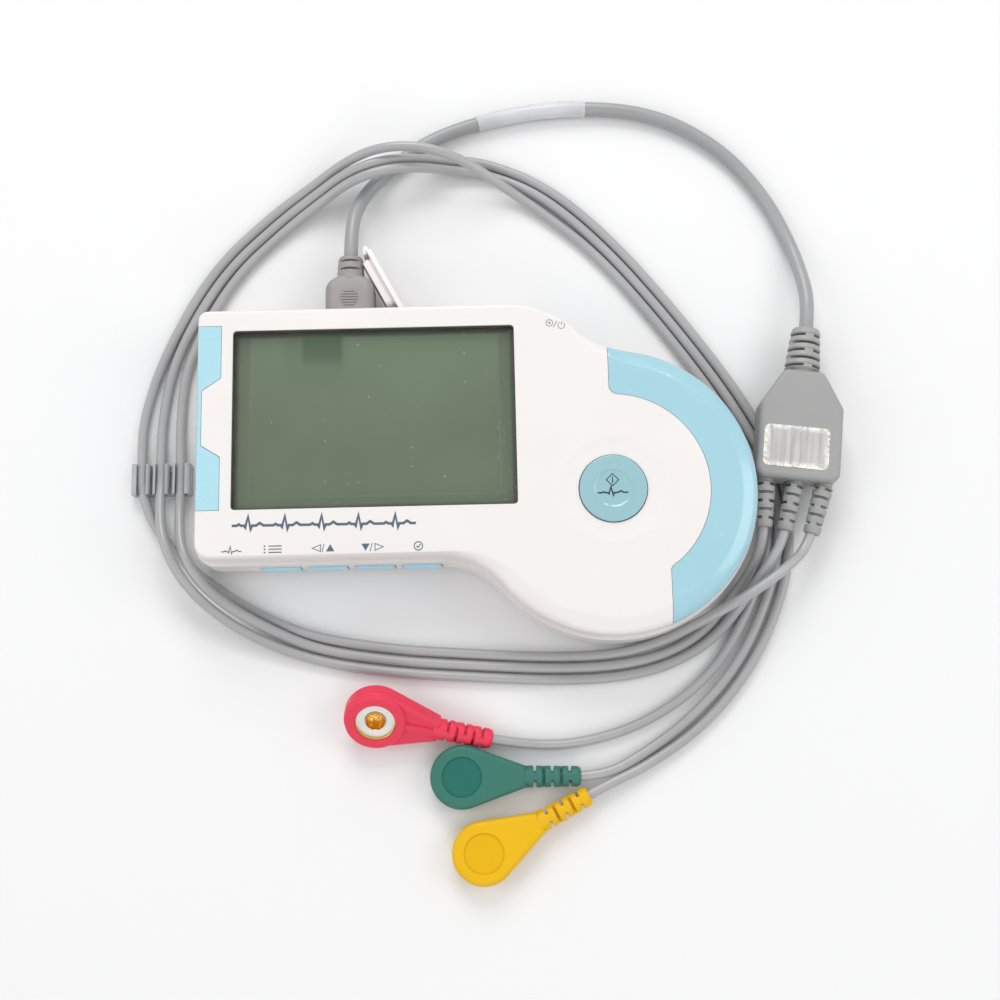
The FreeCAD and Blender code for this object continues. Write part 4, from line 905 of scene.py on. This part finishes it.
class Stencil:
    """Flat printing, gathered as strokes and patches in millimetres and pressed to a thin film."""

    gap: float = 0.008
    film: float = 0.02
    arc_steps: int = 28
    least_mitre: float = 0.35

    def __init__(self, name: str, level: float, centre: Spot = (0.0, 0.0), turn: float = 0.0) -> None:
        """Start an empty print.

        Args:
            name: Name of the piece.
            level: Height of the surface under it.
            centre: Where its own origin lies.
            turn: Turn about that point.
        """
        self.name = name
        self.shape = bmesh.new()
        self.place = shift(*centre, level + self.gap) @ spin(turn)

    def patch(self, *corners: Spot) -> None:
        """Add a filled outline with its corners counter-clockwise."""
        self.shape.faces.new([self.shape.verts.new((x * MM, y * MM, 0.0)) for x, y in corners])

    def stroke(self, points: Sequence[Spot], width: float, closed: bool = False) -> None:
        """Add a line of even width with mitred corners.

        Args:
            points: Corners of the line.
            width: Its width.
            closed: Whether it returns to its start.
        """
        flat = [Vector(p) for p in points]
        count = len(flat)
        pairs = []
        for index, here in enumerate(flat):
            ways = [(here - flat[index - 1]).normalized()] if closed or index else []
            ways += [(flat[(index + 1) % count] - here).normalized()] if closed or index < count - 1 else []
            normals = [Vector((-way.y, way.x)) for way in ways]
            mitre = sum(normals, Vector((0.0, 0.0))).normalized()
            reach = width / 2 / max(mitre.dot(normals[0]), self.least_mitre)
            sides = [here + mitre * reach * side for side in (1, -1)]
            pairs.append([self.shape.verts.new((side * MM).to_3d()) for side in sides])
        for index in range(count if closed else count - 1):
            low, high = pairs[index], pairs[(index + 1) % count]
            self.shape.faces.new((low[0], low[1], high[1], high[0]))

    def ring(self, centre: Spot, radius: float, width: float, start: float = 0.0, end: float = 360.0) -> None:
        """Add a ring or an arc.

        Args:
            centre: Its centre.
            radius: Its radius.
            width: Width of its line.
            start: Where it starts.
            end: Where it ends.
        """
        whole = end - start >= 360.0
        angles = [math.radians(start + (end - start) * n / self.arc_steps)
                  for n in range(self.arc_steps + (not whole))]
        self.stroke([(centre[0] + radius * math.cos(a), centre[1] + radius * math.sin(a)) for a in angles],
                    width, whole)

    def press(self, body: str, finish: Finish) -> Piece:
        """Give the print its thickness and tie it to its body.

        Args:
            body: Body that it rides on.
            finish: Its finish.

        Returns:
            The piece.
        """
        for face in self.shape.faces:
            face.normal_update()
            if face.normal.z < 0:
                face.normal_flip()
        piece = linked(self.name, finished(self.shape, self.name))
        piece.data.transform(self.place)
        thicken(piece, self.film, 1.0)
        return placed(piece, body, finish)


# ---------------------------------------------------------------- cable set

@dataclass(frozen=True)
class Cord:
    """One free cord."""

    name: str
    node: str
    route: Sequence[Point]
    diameter: float
    length: float
    finish: Finish
    stiffness: str = "limp"

    def build(self, with_pieces: Sequence[Piece]) -> None:
        """Args:
            with_pieces: The separate pieces on it; not used.
        """
        curve = spline_curve(self.name, self.route, 10)
        curve.bevel_depth = self.diameter / 2 * MM
        curve.bevel_resolution = 6
        curve.use_fill_caps = True
        piece = placed(linked(self.name, curve), MONITOR, self.finish, [self.node])


@dataclass(frozen=True)
class Snap:
    """One snap connector: where its housing stands and what it is made of."""

    lead: Lead
    finish: Finish
    head: Point
    heading: float
    pitch: float = 0.0
    roll: float = 0.0
    half_thick: float = 2.8
    well_depth: float = 1.3
    well_radius: float = 4.7
    bore_radius: float = 2.38

    def build(self) -> list[Piece]:
        """Make the housing, its socket, and the washer and plated cup of its well.

        Returns:
            The pieces.
        """
        word = self.lead.value
        place = shift(*self.head) @ spin(self.heading) @ spin(self.pitch, "Y") @ spin(self.roll, "X")
        floor = self.well_depth - self.half_thick
        inner, outer = self.bore_radius + 0.06, self.well_radius - 0.04
        washer = [(inner, 0.01), (outer, 0.01), (outer, -0.1), (outer - 0.08, -0.14), (inner + 0.08, -0.14),
                  (inner, -0.1)]
        cup = [(outer - 0.2, -0.12), (outer, -0.12), (outer, -0.98), (outer - 0.08, -1.06),
               (outer - 0.2, -0.98)]
        washer, cup = (turned(f"{word}_{name}", [(radius, floor + rise) for radius, rise in profile], place)
                       for name, profile in (("washer", washer), ("cup", cup)))
        return [skinned(f"{word}_snap", self.finish, 35.0), skinned(f"{word}_stud", STUD, 45.0),
                placed(washer, MONITOR, WELL), placed(cup, MONITOR, GOLD)]


@dataclass(frozen=True)
class FilmLabel:
    """Bare film label on the yoke: a thin crinkled sheet with round corners."""

    centre: Spot = (-0.9, 7.6)
    half: Spot = (7.7, 5.0)
    corner: float = 1.3
    thick: float = 0.08
    rim: float = 1.5
    lift: float = 0.10
    ripple: float = 0.09
    streak: float = 0.008
    level: float = 11.0
    yoke: Spot = (75.2, -11.4)
    turn: float = -7.0

    def build(self) -> Piece:
        """Model the sheet from a grid."""
        piece = primitive("grid", "film_label", x_subdivisions=64, y_subdivisions=44, size=2.0)
        rims = []
        for vertex in piece.data.vertices:
            spot, edge = self.bent(Vector((vertex.co.x * self.half[0], vertex.co.y * self.half[1])))
            rims.append(max(0.0, 1.0 - edge / self.rim))
            ripple = noise.noise(Vector((spot.x * 1.1, spot.y * 1.1, 3.7))) * self.ripple
            streak = noise.noise(Vector((spot.x * 2.2, spot.y * 0.12, 9.1))) * self.streak
            vertex.co = Vector((*spot, self.lift + max(0.0, ripple * rims[-1] + streak))) * MM
        piece.data.attributes.new("rim", "FLOAT", "POINT").data.foreach_set("value", rims)
        thicken(piece, self.thick, -1.0)
        piece.data.transform(shift(*self.yoke, self.level) @ spin(self.turn) @ shift(*self.centre))
        soften(piece, 50.0)
        return placed(piece, MONITOR, FOIL, ["yoke_label"])

    def bent(self, spot: Vector) -> tuple[Vector, float]:
        """Pull a point of the square sheet into its round corners.

        Args:
            spot: The point, in millimetres from the sheet's middle.

        Returns:
            The moved point, and its distance from the sheet's edge.
        """
        over = Vector([max(0.0, abs(c) - half + self.corner) for c, half in zip(spot, self.half)])
        if min(over) <= 0.0:
            return spot, min(half - abs(c) for c, half in zip(spot, self.half))
        pulled = over * (max(over) / over.length)
        moved = Vector([math.copysign(half - self.corner + pull, c)
                        for c, half, pull in zip(spot, self.half, pulled)])
        return moved, self.corner - pulled.length


@dataclass(frozen=True)
class MarkSleeve:
    """Clear sleeve round the trunk cord with a bare white tag inside it."""

    ends: Spot = (1.4, 29.4)
    tag_ends: Spot = (6.9, 25.0)
    least_y: float = 70.0
    cord_radius: float = 1.7
    wall: float = 0.26
    tag_thick: float = 0.02

    def build(self, route: Sequence[Point]) -> list[Piece]:
        """Wrap the tag and the sleeve round the trunk's line.

        Args:
            route: Points of the trunk's route.

        Returns:
            The two pieces.
        """
        line = [p for p in centre_line(route) if p.y > self.least_y * MM]
        tag_line, sleeve_line = ([p for p in line if low <= p.x / MM <= high]
                                 for low, high in (self.tag_ends, self.ends))
        tag = swept("cord_tag", tag_line, self.cord_radius + 0.03, range(-110, 111, 10), False)
        thicken(tag, self.tag_thick, 0.0)
        sleeve = swept("cord_sleeve", sleeve_line, self.cord_radius + 0.06, range(0, 360, 12), True)
        thicken(sleeve, self.wall, 1.0)
        for piece in (tag, sleeve):
            soften(piece, 50.0)
        return [placed(tag, MONITOR, TAG), placed(sleeve, MONITOR, SLEEVE, ["label_sleeve"])]


@dataclass
class CableSet:
    """Trunk cable, yoke and three leads with their snap connectors."""

    trunk: Sequence[Point] = (
        (-29.8, 45.7, 7.5), (-29.8, 54.2, 7.5), (-28, 63.5, 3.6), (-21.5, 71.6, 1.75), (-10.4, 80.5, 2.1),
        (8.9, 86.5, 2.1), (29.8, 88.3, 2.1), (48.2, 85.2, 2.1), (63.2, 75.8, 1.75), (72.9, 63.4, 1.75),
        (78.2, 51.6, 2), (80.6, 41.5, 4.2), (81.27, 32.82, 6.95), (80.01, 24.91, 6.95))
    red: Sequence[Point] = (
        (79.54, -20.1, 6.63), (77.37, -26.75, 6.4), (71.8, -31.9, 9.4), (64.6, -36.9, 10.4),
        (57.4, -40.9, 10.2), (50.2, -44.4, 6.8), (42.2, -48.1, 2.4), (31.2, -50.7, 1.25),
        (16.1, -50.9, 1.25), (-1.8, -49.7, 1.25), (-20.4, -48.2, 1.25), (-38.2, -45.2, 1.25),
        (-48.4, -41.4, 1.25), (-61.6, -33.8, 1.25), (-73.8, -23.4, 1.25), (-80.4, -12, 2.1),
        (-80.9, -1.2, 2.1), (-80.9, 9.4, 1.25), (-75.9, 26.1, 1.25), (-64.5, 47.2, 1.25),
        (-50, 61.2, 1.25), (-39.6, 68, 3), (-31.8, 72.2, 6.8), (-23.4, 74.2, 10.8), (-14.2, 74.2, 12),
        (-5.2, 72.2, 11), (2.8, 69.2, 6.4), (9.8, 65.4, 2.6), (17.6, 60.1, 1.25), (31.1, 48.6, 1.25),
        (46.5, 28.9, 1.25), (60.3, 8.3, 1.25), (69, -9.6, 1.25), (69.2, -26.6, 1.25), (62.6, -42.8, 1.25),
        (53.4, -56.4, 1.25), (38.6, -66.6, 1.25), (22.4, -71.2, 1.25), (8.69, -70.95, 1.6),
        (0.37, -69.2, 2.89))
    green: Sequence[Point] = (
        (67.65, -18.02, 6.64), (67.04, -24.99, 6.4), (64.4, -31.4, 3.8), (59.6, -38, 1.25),
        (52.1, -46.1, 1.25), (43, -51, 1.25), (31.5, -53.4, 1.25), (16, -53.6, 1.25), (-2, -52.4, 1.25),
        (-20.7, -50.9, 1.25), (-38.6, -47.9, 1.25), (-50.9, -42.4, 3.4), (-60, -37.1, 6.7),
        (-66.7, -30.7, 7.3), (-70.3, -23.2, 6.4), (-71.3, -15.6, 3.2), (-71.3, -8.1, 2.1),
        (-71.4, -1.1, 2.1), (-71.9, 8.4, 1.25), (-70.6, 23.4, 1.25), (-60.3, 44, 1.25),
        (-46.4, 57.4, 1.25), (-37.4, 63.3, 3.8), (-29.6, 66.8, 8.6), (-20.9, 69.3, 9.6),
        (-12.8, 70.9, 6.4), (-4.4, 71.5, 2.4), (4.2, 70.8, 1.25), (17.4, 65, 1.25), (33, 50.4, 1.25),
        (48.6, 30.4, 1.25), (62.6, 9.6, 1.25), (71.6, -9, 1.25), (71.8, -27, 1.25), (66.4, -42.4, 1.25),
        (58.8, -55.6, 1.25), (47.2, -67, 1.25), (36.4, -74.1, 1.7), (27.8, -78.5, 2.85),
        (20.6, -78.42, 2.85))
    yellow: Sequence[Point] = (
        (73.16, -19.14, 6.83), (71.51, -25.12, 6.78), (67.8, -31, 7.5), (64, -35.9, 6.5),
        (60.3, -41.2, 2.6), (53.8, -48.3, 1.25), (43.9, -53.6, 1.25), (31.8, -56.1, 1.25),
        (15.9, -56.3, 1.25), (-2.2, -55.1, 1.25), (-21, -53.6, 1.25), (-39, -50.6, 1.25),
        (-52.8, -45.2, 2.8), (-62.4, -39, 6.2), (-69.8, -31.4, 7.4), (-74.4, -21.9, 7.4),
        (-75.9, -13.5, 3.8), (-76.1, -7.1, 2.1), (-76.2, -0.7, 2.1), (-76.3, 9.1, 1.25),
        (-73.4, 25.2, 1.25), (-62.4, 45.6, 1.25), (-48.2, 59.3, 1.25), (-38.6, 65.5, 3.6),
        (-30.7, 69.2, 8), (-22.2, 71.7, 9.3), (-14.3, 73.5, 6), (-5.9, 74.3, 2.4), (3.6, 74, 1.25),
        (18.9, 67.2, 1.25), (34.9, 52.2, 1.25), (50.7, 31.9, 1.25), (64.9, 10.9, 1.25), (74.2, -8.4, 1.25),
        (74.4, -27.4, 1.25), (69.4, -43.4, 1.25), (61.6, -56.8, 1.25), (50.6, -68.4, 1.25),
        (37.8, -76.5, 1.6), (28.94, -80.26, 2.85), (22.53, -83.55, 2.85))
    lengths: Sequence[float] = (541.2, 515.4, 536.6)
    snaps: Sequence[Snap] = (
        Snap(Lead.RED, RED, (-24.3, -64.0, 6.7), -11.9, 8.6, 216.0),
        Snap(Lead.GREEN, GREEN, (-4.9, -78.1, 2.85), -0.7),
        Snap(Lead.YELLOW, YELLOW, (-0.15, -95.2, 2.85), 27.2))

    def build(self) -> None:
        """Build the pieces on the cords, then the cords."""
        plug, top, bottom, relief = (skinned(*row) for row in (
            ("cable_plug", PLUG, 38.0), ("yoke_top", YOKE, 40.0), ("yoke_bottom", YOKE, 40.0),
            ("trunk_relief", RELIEF, 35.0)))
        on_trunk = [plug, frame["nodes"]["plug_tip"], FilmLabel().build(), relief, top, bottom,
                    *MarkSleeve().build(self.trunk)]
        Cord("trunk_cord", "trunk_cable", self.trunk, 3.4, 176.2, CORD, "medium").build(on_trunk)
        clip = skinned("lead_clip", SMOKE, 35.0, 0.12)
        for snap, route, length in zip(self.snaps, (self.red, self.green, self.yellow), self.lengths):
            word = snap.lead.value
            on_lead = snap.build() + [skinned(f"{word}_relief", RELIEF, 35.0)]
            on_lead += [clip] if snap.lead is Lead.RED else []
            Cord(f"{word}_cord", f"{word}_lead", route, 2.4, length, LEAD).build(on_lead)
        dress(NICKEL, "plug_tip", "cable_socket")


# ---------------------------------------------------------------- handset

@dataclass(frozen=True)
class Screen:
    """Window, its dark seal and the panel behind it."""

    low: Spot = (-56.1, -17.4)
    high: Spot = (9.4, 25.2)
    corner: float = 0.9
    seal_thick: float = 0.1
    seal_top: float = 18.72
    seal_bottom: float = 16.61

    def build(self) -> None:
        """Make the window and the seal, and dress the panel."""
        self.add_window()
        self.add_seal()
        dress(PANEL, "lcd_panel")
        dress(SEAL, "lcd_frame")

    def add_window(self) -> None:
        """Clear window whose side walls are painted dark."""
        window = skinned("lcd_lens", WINDOW, 20.0)
        window.data.materials.append(SEAL.material())
        for face in window.data.polygons:
            face.material_index = 1 if abs(face.normal.z) < 0.5 else 0

    def add_seal(self) -> None:
        """Thin frame that lines the opening, from a plane with bevelled corners."""
        piece = primitive("plane", "screen_seal", size=1.0)
        wide, deep = (b - a - 0.02 for a, b in zip(self.low, self.high))
        with editing(piece):
            stretch(wide * MM, deep * MM)
            move(*((a + b) / 2 for a, b in zip(self.low, self.high)), self.seal_top)
            bpy.ops.mesh.bevel(affect="VERTICES", offset=self.corner * MM, segments=6)
            select_all()
            bpy.ops.mesh.inset(thickness=self.seal_thick * MM)
            bpy.ops.mesh.delete(type="FACE")
            select_all()
            extrude(self.seal_bottom - self.seal_top)
        soften(piece, 40.0)
        placed(piece, MONITOR, SEAL)


@dataclass(frozen=True)
class Printing:
    """Generic marks on the face and the start button, in place of words."""

    face: float = 19.0
    button: float = 18.985
    beat: Sequence[Spot] = ((0.0, 0.0), (0.13, 0.0), (0.19, 0.16), (0.25, 0.0), (0.33, 0.0), (0.37, -0.2),
                            (0.44, 1.0), (0.51, -0.42), (0.55, 0.0), (0.66, 0.0), (0.76, 0.28), (0.86, 0.0))

    def build(self) -> None:
        """Print every mark."""
        self.title()
        self.key_marks()
        self.power_mark()
        self.start_mark()

    def trace(self, start: Spot, width: float, tall: float, beats: int) -> list[Spot]:
        """Pulse trace of even beats.

        Args:
            start: Left end of its base line.
            width: Length of the trace.
            tall: Height of a peak.
            beats: Number of beats.

        Returns:
            Corners of the line.
        """
        step = width / beats
        left, base = start
        points = [(left + step * (n + x), base + tall * y) for n in range(beats) for x, y in self.beat]
        return points + [(left + width, base)]

    def title(self) -> None:
        """Long bold trace under the screen."""
        marks = Stencil("title_trace", self.face, (-34.8, -20.65), -0.4)
        marks.stroke(self.trace((-20.9, -0.55), 41.8, 2.1, 5), 0.6)
        marks.press(MONITOR, PRINT)

    def key_marks(self) -> None:
        """Small marks over the four keys and the recording mark at the left."""
        marks = Stencil("key_marks", self.face, (0.0, -26.62))
        marks.stroke(self.trace((-58.0, -0.35), 4.6, 1.25, 1), 0.24)
        for y in (0.72, 0.0, -0.72):
            marks.stroke([(-47.3, y), (-44.3, y)], 0.24)
            marks.ring((-48.2, y), 0.1, 0.2)
        for x, way in ((-36.4, -1), (-22.35, 1)):
            foot = x - way * 0.85
            marks.stroke([(foot, 0.78), (foot, -0.78), (x + way, 0.0)][::-way], 0.18, True)
        marks.patch((-34.3, -0.8), (-32.4, -0.8), (-33.35, 0.85))
        marks.patch((-26.3, 0.8), (-25.35, -0.85), (-24.4, 0.8))
        for x in (-35.0, -24.1):
            marks.stroke([(x - 0.22, -0.95), (x + 0.28, 0.95)], 0.17)
        marks.ring((-13.4, 0.0), 0.95, 0.22)
        marks.stroke([(-13.85, 0.05), (-13.5, -0.38), (-12.9, 0.42)], 0.22)
        marks.press(MONITOR, PRINT)

    def power_mark(self) -> None:
        """Two small round marks of the power key, either side of a stroke."""
        marks = Stencil("power_marks", self.face, (19.05, 25.1), -13.5)
        marks.ring((-1.35, 0.0), 0.78, 0.16)
        for line in (((-1.35, -0.35), (-1.35, 0.35)), ((-1.75, 0.0), (-0.95, 0.0)),
                     ((-0.2, -0.85), (0.25, 0.85)), ((1.5, 0.1), (1.5, 1.0))):
            marks.stroke(line, 0.16)
        marks.ring((1.5, 0.0), 0.78, 0.16, 125.0, 415.0)
        marks.press(MONITOR, PRINT_PALE)

    def start_mark(self) -> None:
        """Diamond with a bar, and a short trace below it, on the start button."""
        marks = Stencil("start_marks", self.button)
        x, y, reach = 31.05, -12.35, 1.42
        marks.stroke([(x, y - reach), (x + reach, y), (x, y + reach), (x - reach, y)], 0.2, True)
        marks.stroke([(x, y - 0.78), (x, y + 0.78)], 0.22)
        marks.stroke(self.trace((27.55, -15.35), 7.0, 1.35, 1), 0.34)
        marks.press("start_button", PRINT_DARK)


@dataclass(frozen=True)
class Underside:
    """Case screws with cross recesses, and the four feet."""

    screws: Sequence[Spot] = ((-58.0, 14.4), (-6.0, 24.0), (-5.0, -23.0), (53.0, 2.0))
    feet: Sequence[Spot] = ((-56.0, -22.2), (-56.0, 23.0), (46.0, 5.0), (40.0, -38.0))
    head_radius: float = 1.9
    foot_radius: float = 2.97
    blade: Point = (2.3, 0.5, 1.4)

    def build(self) -> None:
        """Make both groups."""
        r = self.foot_radius
        profile = [(0.02, 0.0), (r - 0.5, 0.0), (r - 0.15, 0.12), (r, 0.4), (r, 0.89), (0.02, 0.89)]
        foot = turned("foot", profile, Matrix.Identity(4))
        placed(self.spread("feet_pads", foot, self.feet), MONITOR, RUBBER, ["feet"])
        r = self.head_radius
        profile = [(0.02, 0.9), (r - 0.35, 0.9), (r - 0.05, 1.1), (r, 1.3), (r, 2.19), (0.94, 2.19),
                   (0.94, 11.4), (0.6, 11.78), (0.02, 11.78)]
        screw = turned("screw", profile, Matrix.Identity(4), 32)
        for turn in (0.0, 90.0):
            blade = primitive("cube", "blade", size=MM)
            blade.data.transform(shift(0.0, 0.0, 1.0) @ spin(turn) @ Matrix.Diagonal((*self.blade, 1.0)))
            apply_modifier(screw, "BOOLEAN", operation="DIFFERENCE", object=blade, solver="EXACT")
            bpy.data.objects.remove(blade)
        placed(self.spread("case_screw_set", screw, self.screws), MONITOR, STEEL, ["case_screws"])

    def spread(self, name: str, first: Piece, spots: Sequence[Spot]) -> Piece:
        """Copies of one piece at several spots, joined.

        Args:
            name: Name of the result.
            first: The piece modelled at the origin.
            spots: Where the copies stand.

        Returns:
            The joined piece.
        """
        copies = [linked(name, first.data.copy()) for _ in spots]
        for copy, spot in zip(copies, spots):
            copy.data.transform(shift(*spot))
        bpy.data.objects.remove(first)
        only(copies[0])
        for copy in copies[1:]:
            copy.select_set(True)
        bpy.ops.object.join()
        copies[0].name = name
        return copies[0]


@dataclass(frozen=True)
class CoverPad:
    """Thick soft-edged pad on the inner face of the port cover."""

    low: Spot = (-34.9, 4.5)
    high: Spot = (-21.2, 10.5)
    face: float = 29.45
    thick: float = 1.6
    corner: float = 1.4
    taper: Spot = (0.93, 0.9)
    rim: float = 0.9
    dish: float = 0.25
    soft: float = 0.28
    pin: Spot = (-16.6, 30.0)
    opened: float = 62.2

    def build(self) -> None:
        """Model it from a bevelled plane, extruded and tapered, and swing it to its place."""
        piece = primitive("plane", "cover_pad", size=1.0)
        wide, tall = (b - a for a, b in zip(self.low, self.high))
        with editing(piece):
            stretch(wide * MM, tall * MM)
            bpy.ops.mesh.bevel(affect="VERTICES", offset=self.corner * MM, segments=6)
            select_all()
            extrude(self.thick)
            stretch(*self.taper, self.thick)
            bpy.ops.mesh.inset(thickness=self.rim * MM)
            move(0.0, 0.0, -self.dish)
        round_edges(piece, self.soft, 3, 40.0)
        across, level = ((a + b) / 2 for a, b in zip(self.low, self.high))
        swing = shift(*self.pin) @ spin(-self.opened) @ shift(*self.pin).inverted()
        piece.data.transform(swing @ shift(across, self.face, level) @ spin(90.0, "X"))
        soften(piece, 40.0)
        placed(piece, "port_cover", COVER)


@dataclass(frozen=True)
class Handset:
    """The monitor itself: casing, screen, keys and what lies inside.

    Attributes:
        casing: Node, finish, steepest smooth edge and rounding of each piece of the casing.
        fittings: The same for what is set into the casing.
        bare: Finish and nodes of what keeps its own mesh.
        notch_corner: Range in x, y and z, of the notch's corners beside the hinge.
    """

    casing: Sequence[tuple[str, Finish, float, float]] = (
        ("top_shell", SHELL, 32.0, 0.1), ("bottom_shell", SHELL, 32.0, 0.1), ("arc_grip", GRIP, 32.0, 0.1),
        ("left_grip", LIT_LEFT_GRIP, 32.0, 0.1), ("port_cover", COVER, 35.0, 0.12))
    fittings: Sequence[tuple[str, Finish, float, float]] = (
        ("battery_door", SHELL, 30.0, 0.08), ("start_button", START, 40.0, 0.0),
        ("menu_key", KEYS, 40.0, 0.0), ("left_key", KEYS, 40.0, 0.0), ("right_key", KEYS, 40.0, 0.0),
        ("ok_key", KEYS, 40.0, 0.0), ("power_key", KEYS, 35.0, 0.3),
        ("left_electrode", CHROME, 30.0, 0.12), ("right_electrode", CHROME, 30.0, 0.12))
    bare: Sequence[tuple[Finish, ...]] = (
        (STEEL, "cover_pin", "board_screws"), (BLACK, "key_switches", "buzzer"), (BOARD, "main_pcb"),
        (NICKEL, "start_switch", "battery_springs", "battery_contacts"), (JACKET, "front_cell", "back_cell"))
    notch_corner: Sequence[Spot] = ((-15.45, -15.0), (29.9, 31.25), (3.1, 11.7))

    def build(self) -> None:
        """Finish the handset's nodes and add what they lack."""
        pieces = {row[0]: skinned(*row) for row in self.casing}
        self.open_notch(pieces["bottom_shell"])
        CoverPad().build()
        for row in self.fittings:
            skinned(*row)
        Screen().build()
        Printing().build()
        Underside().build()
        for finish, *nodes in self.bare:
            dress(finish, *nodes)

    def open_notch(self, shell: Piece) -> None:
        """Square the notch's corners beside the hinge, where the open port cover passes.

        Args:
            shell: The lower shell's piece.
        """
        right = self.notch_corner[0][1]
        for vertex in shell.data.vertices:
            if all(low < c < high for c, (low, high) in zip(vertex.co / MM, self.notch_corner)):
                vertex.co.x = right * MM


# ---------------------------------------------------------------- studio

@dataclass(frozen=True)
class Studio:
    """Pale floor, soft light and the camera.

    Attributes:
        camera_at: Place of the camera.
        target: Point that it looks at.
        roll: Turn about its line of sight.
        focal: Focal length as a share of the picture's width.
        sensor: Width of the camera's sensor.
        floor_size: Width of the floor in metres.
        surround: Strength of the pale surround.
        surround_tint: Its colour.
        lamps: Name, place and width, and power in watts, of each lamp.
    """

    camera_at: Point = (5.285, -79.792, 333.305)
    target: Point = (5.285, -12.653, 0.0)
    roll: float = 1.294
    focal: float = 1.40916
    sensor: float = 36.0
    floor_size: float = 6.0
    surround: float = 0.62
    surround_tint: Rgb = (0.985, 0.985, 1.0)
    lamps: Sequence[tuple[str, Point, float, float]] = (
        ("lamp_back", (-60.0, 640.0, 560.0), 420.0, 3.1),
        ("lamp_left", (-560.0, -40.0, 420.0), 420.0, 1.0),
        ("lamp_right", (530.0, 10.0, 460.0), 380.0, 1.05),
        ("lamp_front", (60.0, -560.0, 420.0), 380.0, 0.9),
        ("lamp_spark", (230.0, 420.0, 520.0), 24.0, 0.10))

    def build(self) -> None:
        """Add the floor, the lights, the surroundings and the camera."""
        floor = primitive("plane", "floor", size=self.floor_size)
        floor.data.materials.append(FLOOR.material())
        for name, place, width, power in self.lamps:
            self.add_lamp(name, Vector(place) * MM, width * MM, power)
        self.add_surround()
        self.add_camera()

    def add_lamp(self, name: str, at: Vector, width: float, power: float) -> None:
        """Soft square lamp aimed at the handset.

        Args:
            name: Name of the lamp.
            at: Its place in metres.
            width: Its width in metres.
            power: Its power in watts.
        """
        lamp = bpy.data.lights.new(name, "AREA")
        lamp.size = width
        lamp.energy = power
        aim = (-at).to_track_quat("-Z", "Y").to_matrix().to_4x4()
        linked(name, lamp).matrix_world = Matrix.Translation(at) @ aim

    def add_surround(self) -> None:
        """Pale surround and plain colour management."""
        world = bpy.data.worlds.new("surround")
        bpy.context.scene.world = world
        world.use_nodes = True
        Graph(world.node_tree).feed(world.node_tree.nodes["Background"], Color=self.surround_tint,
                                    Strength=self.surround)
        bpy.context.scene.view_settings.view_transform = "Standard"

    def add_camera(self) -> None:
        """Camera from its place, target, roll and focal length."""
        lens = bpy.data.cameras.new("camera")
        lens.sensor_fit = "HORIZONTAL"
        lens.sensor_width = self.sensor
        lens.lens = self.focal * self.sensor
        lens.clip_start = 0.01
        at, target = Vector(self.camera_at) * MM, Vector(self.target) * MM
        forward = (target - at).normalized()
        turn = math.radians(self.roll)
        right = forward.cross(Vector((math.sin(turn), math.cos(turn), 0.0))).normalized()
        up = right.cross(forward)
        holder = linked("camera", lens)
        holder.matrix_world = Matrix.Translation(at) @ Matrix((right, up, -forward)).transposed().to_4x4()
        bpy.context.scene.camera = holder


def main() -> None:
    """Build everything in order."""
    logging.basicConfig(level=logging.INFO, format="%(message)s")
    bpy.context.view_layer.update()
    Studio().build()
    CableSet().build()
    Handset().build()


if __name__ == "__main__":
    main()
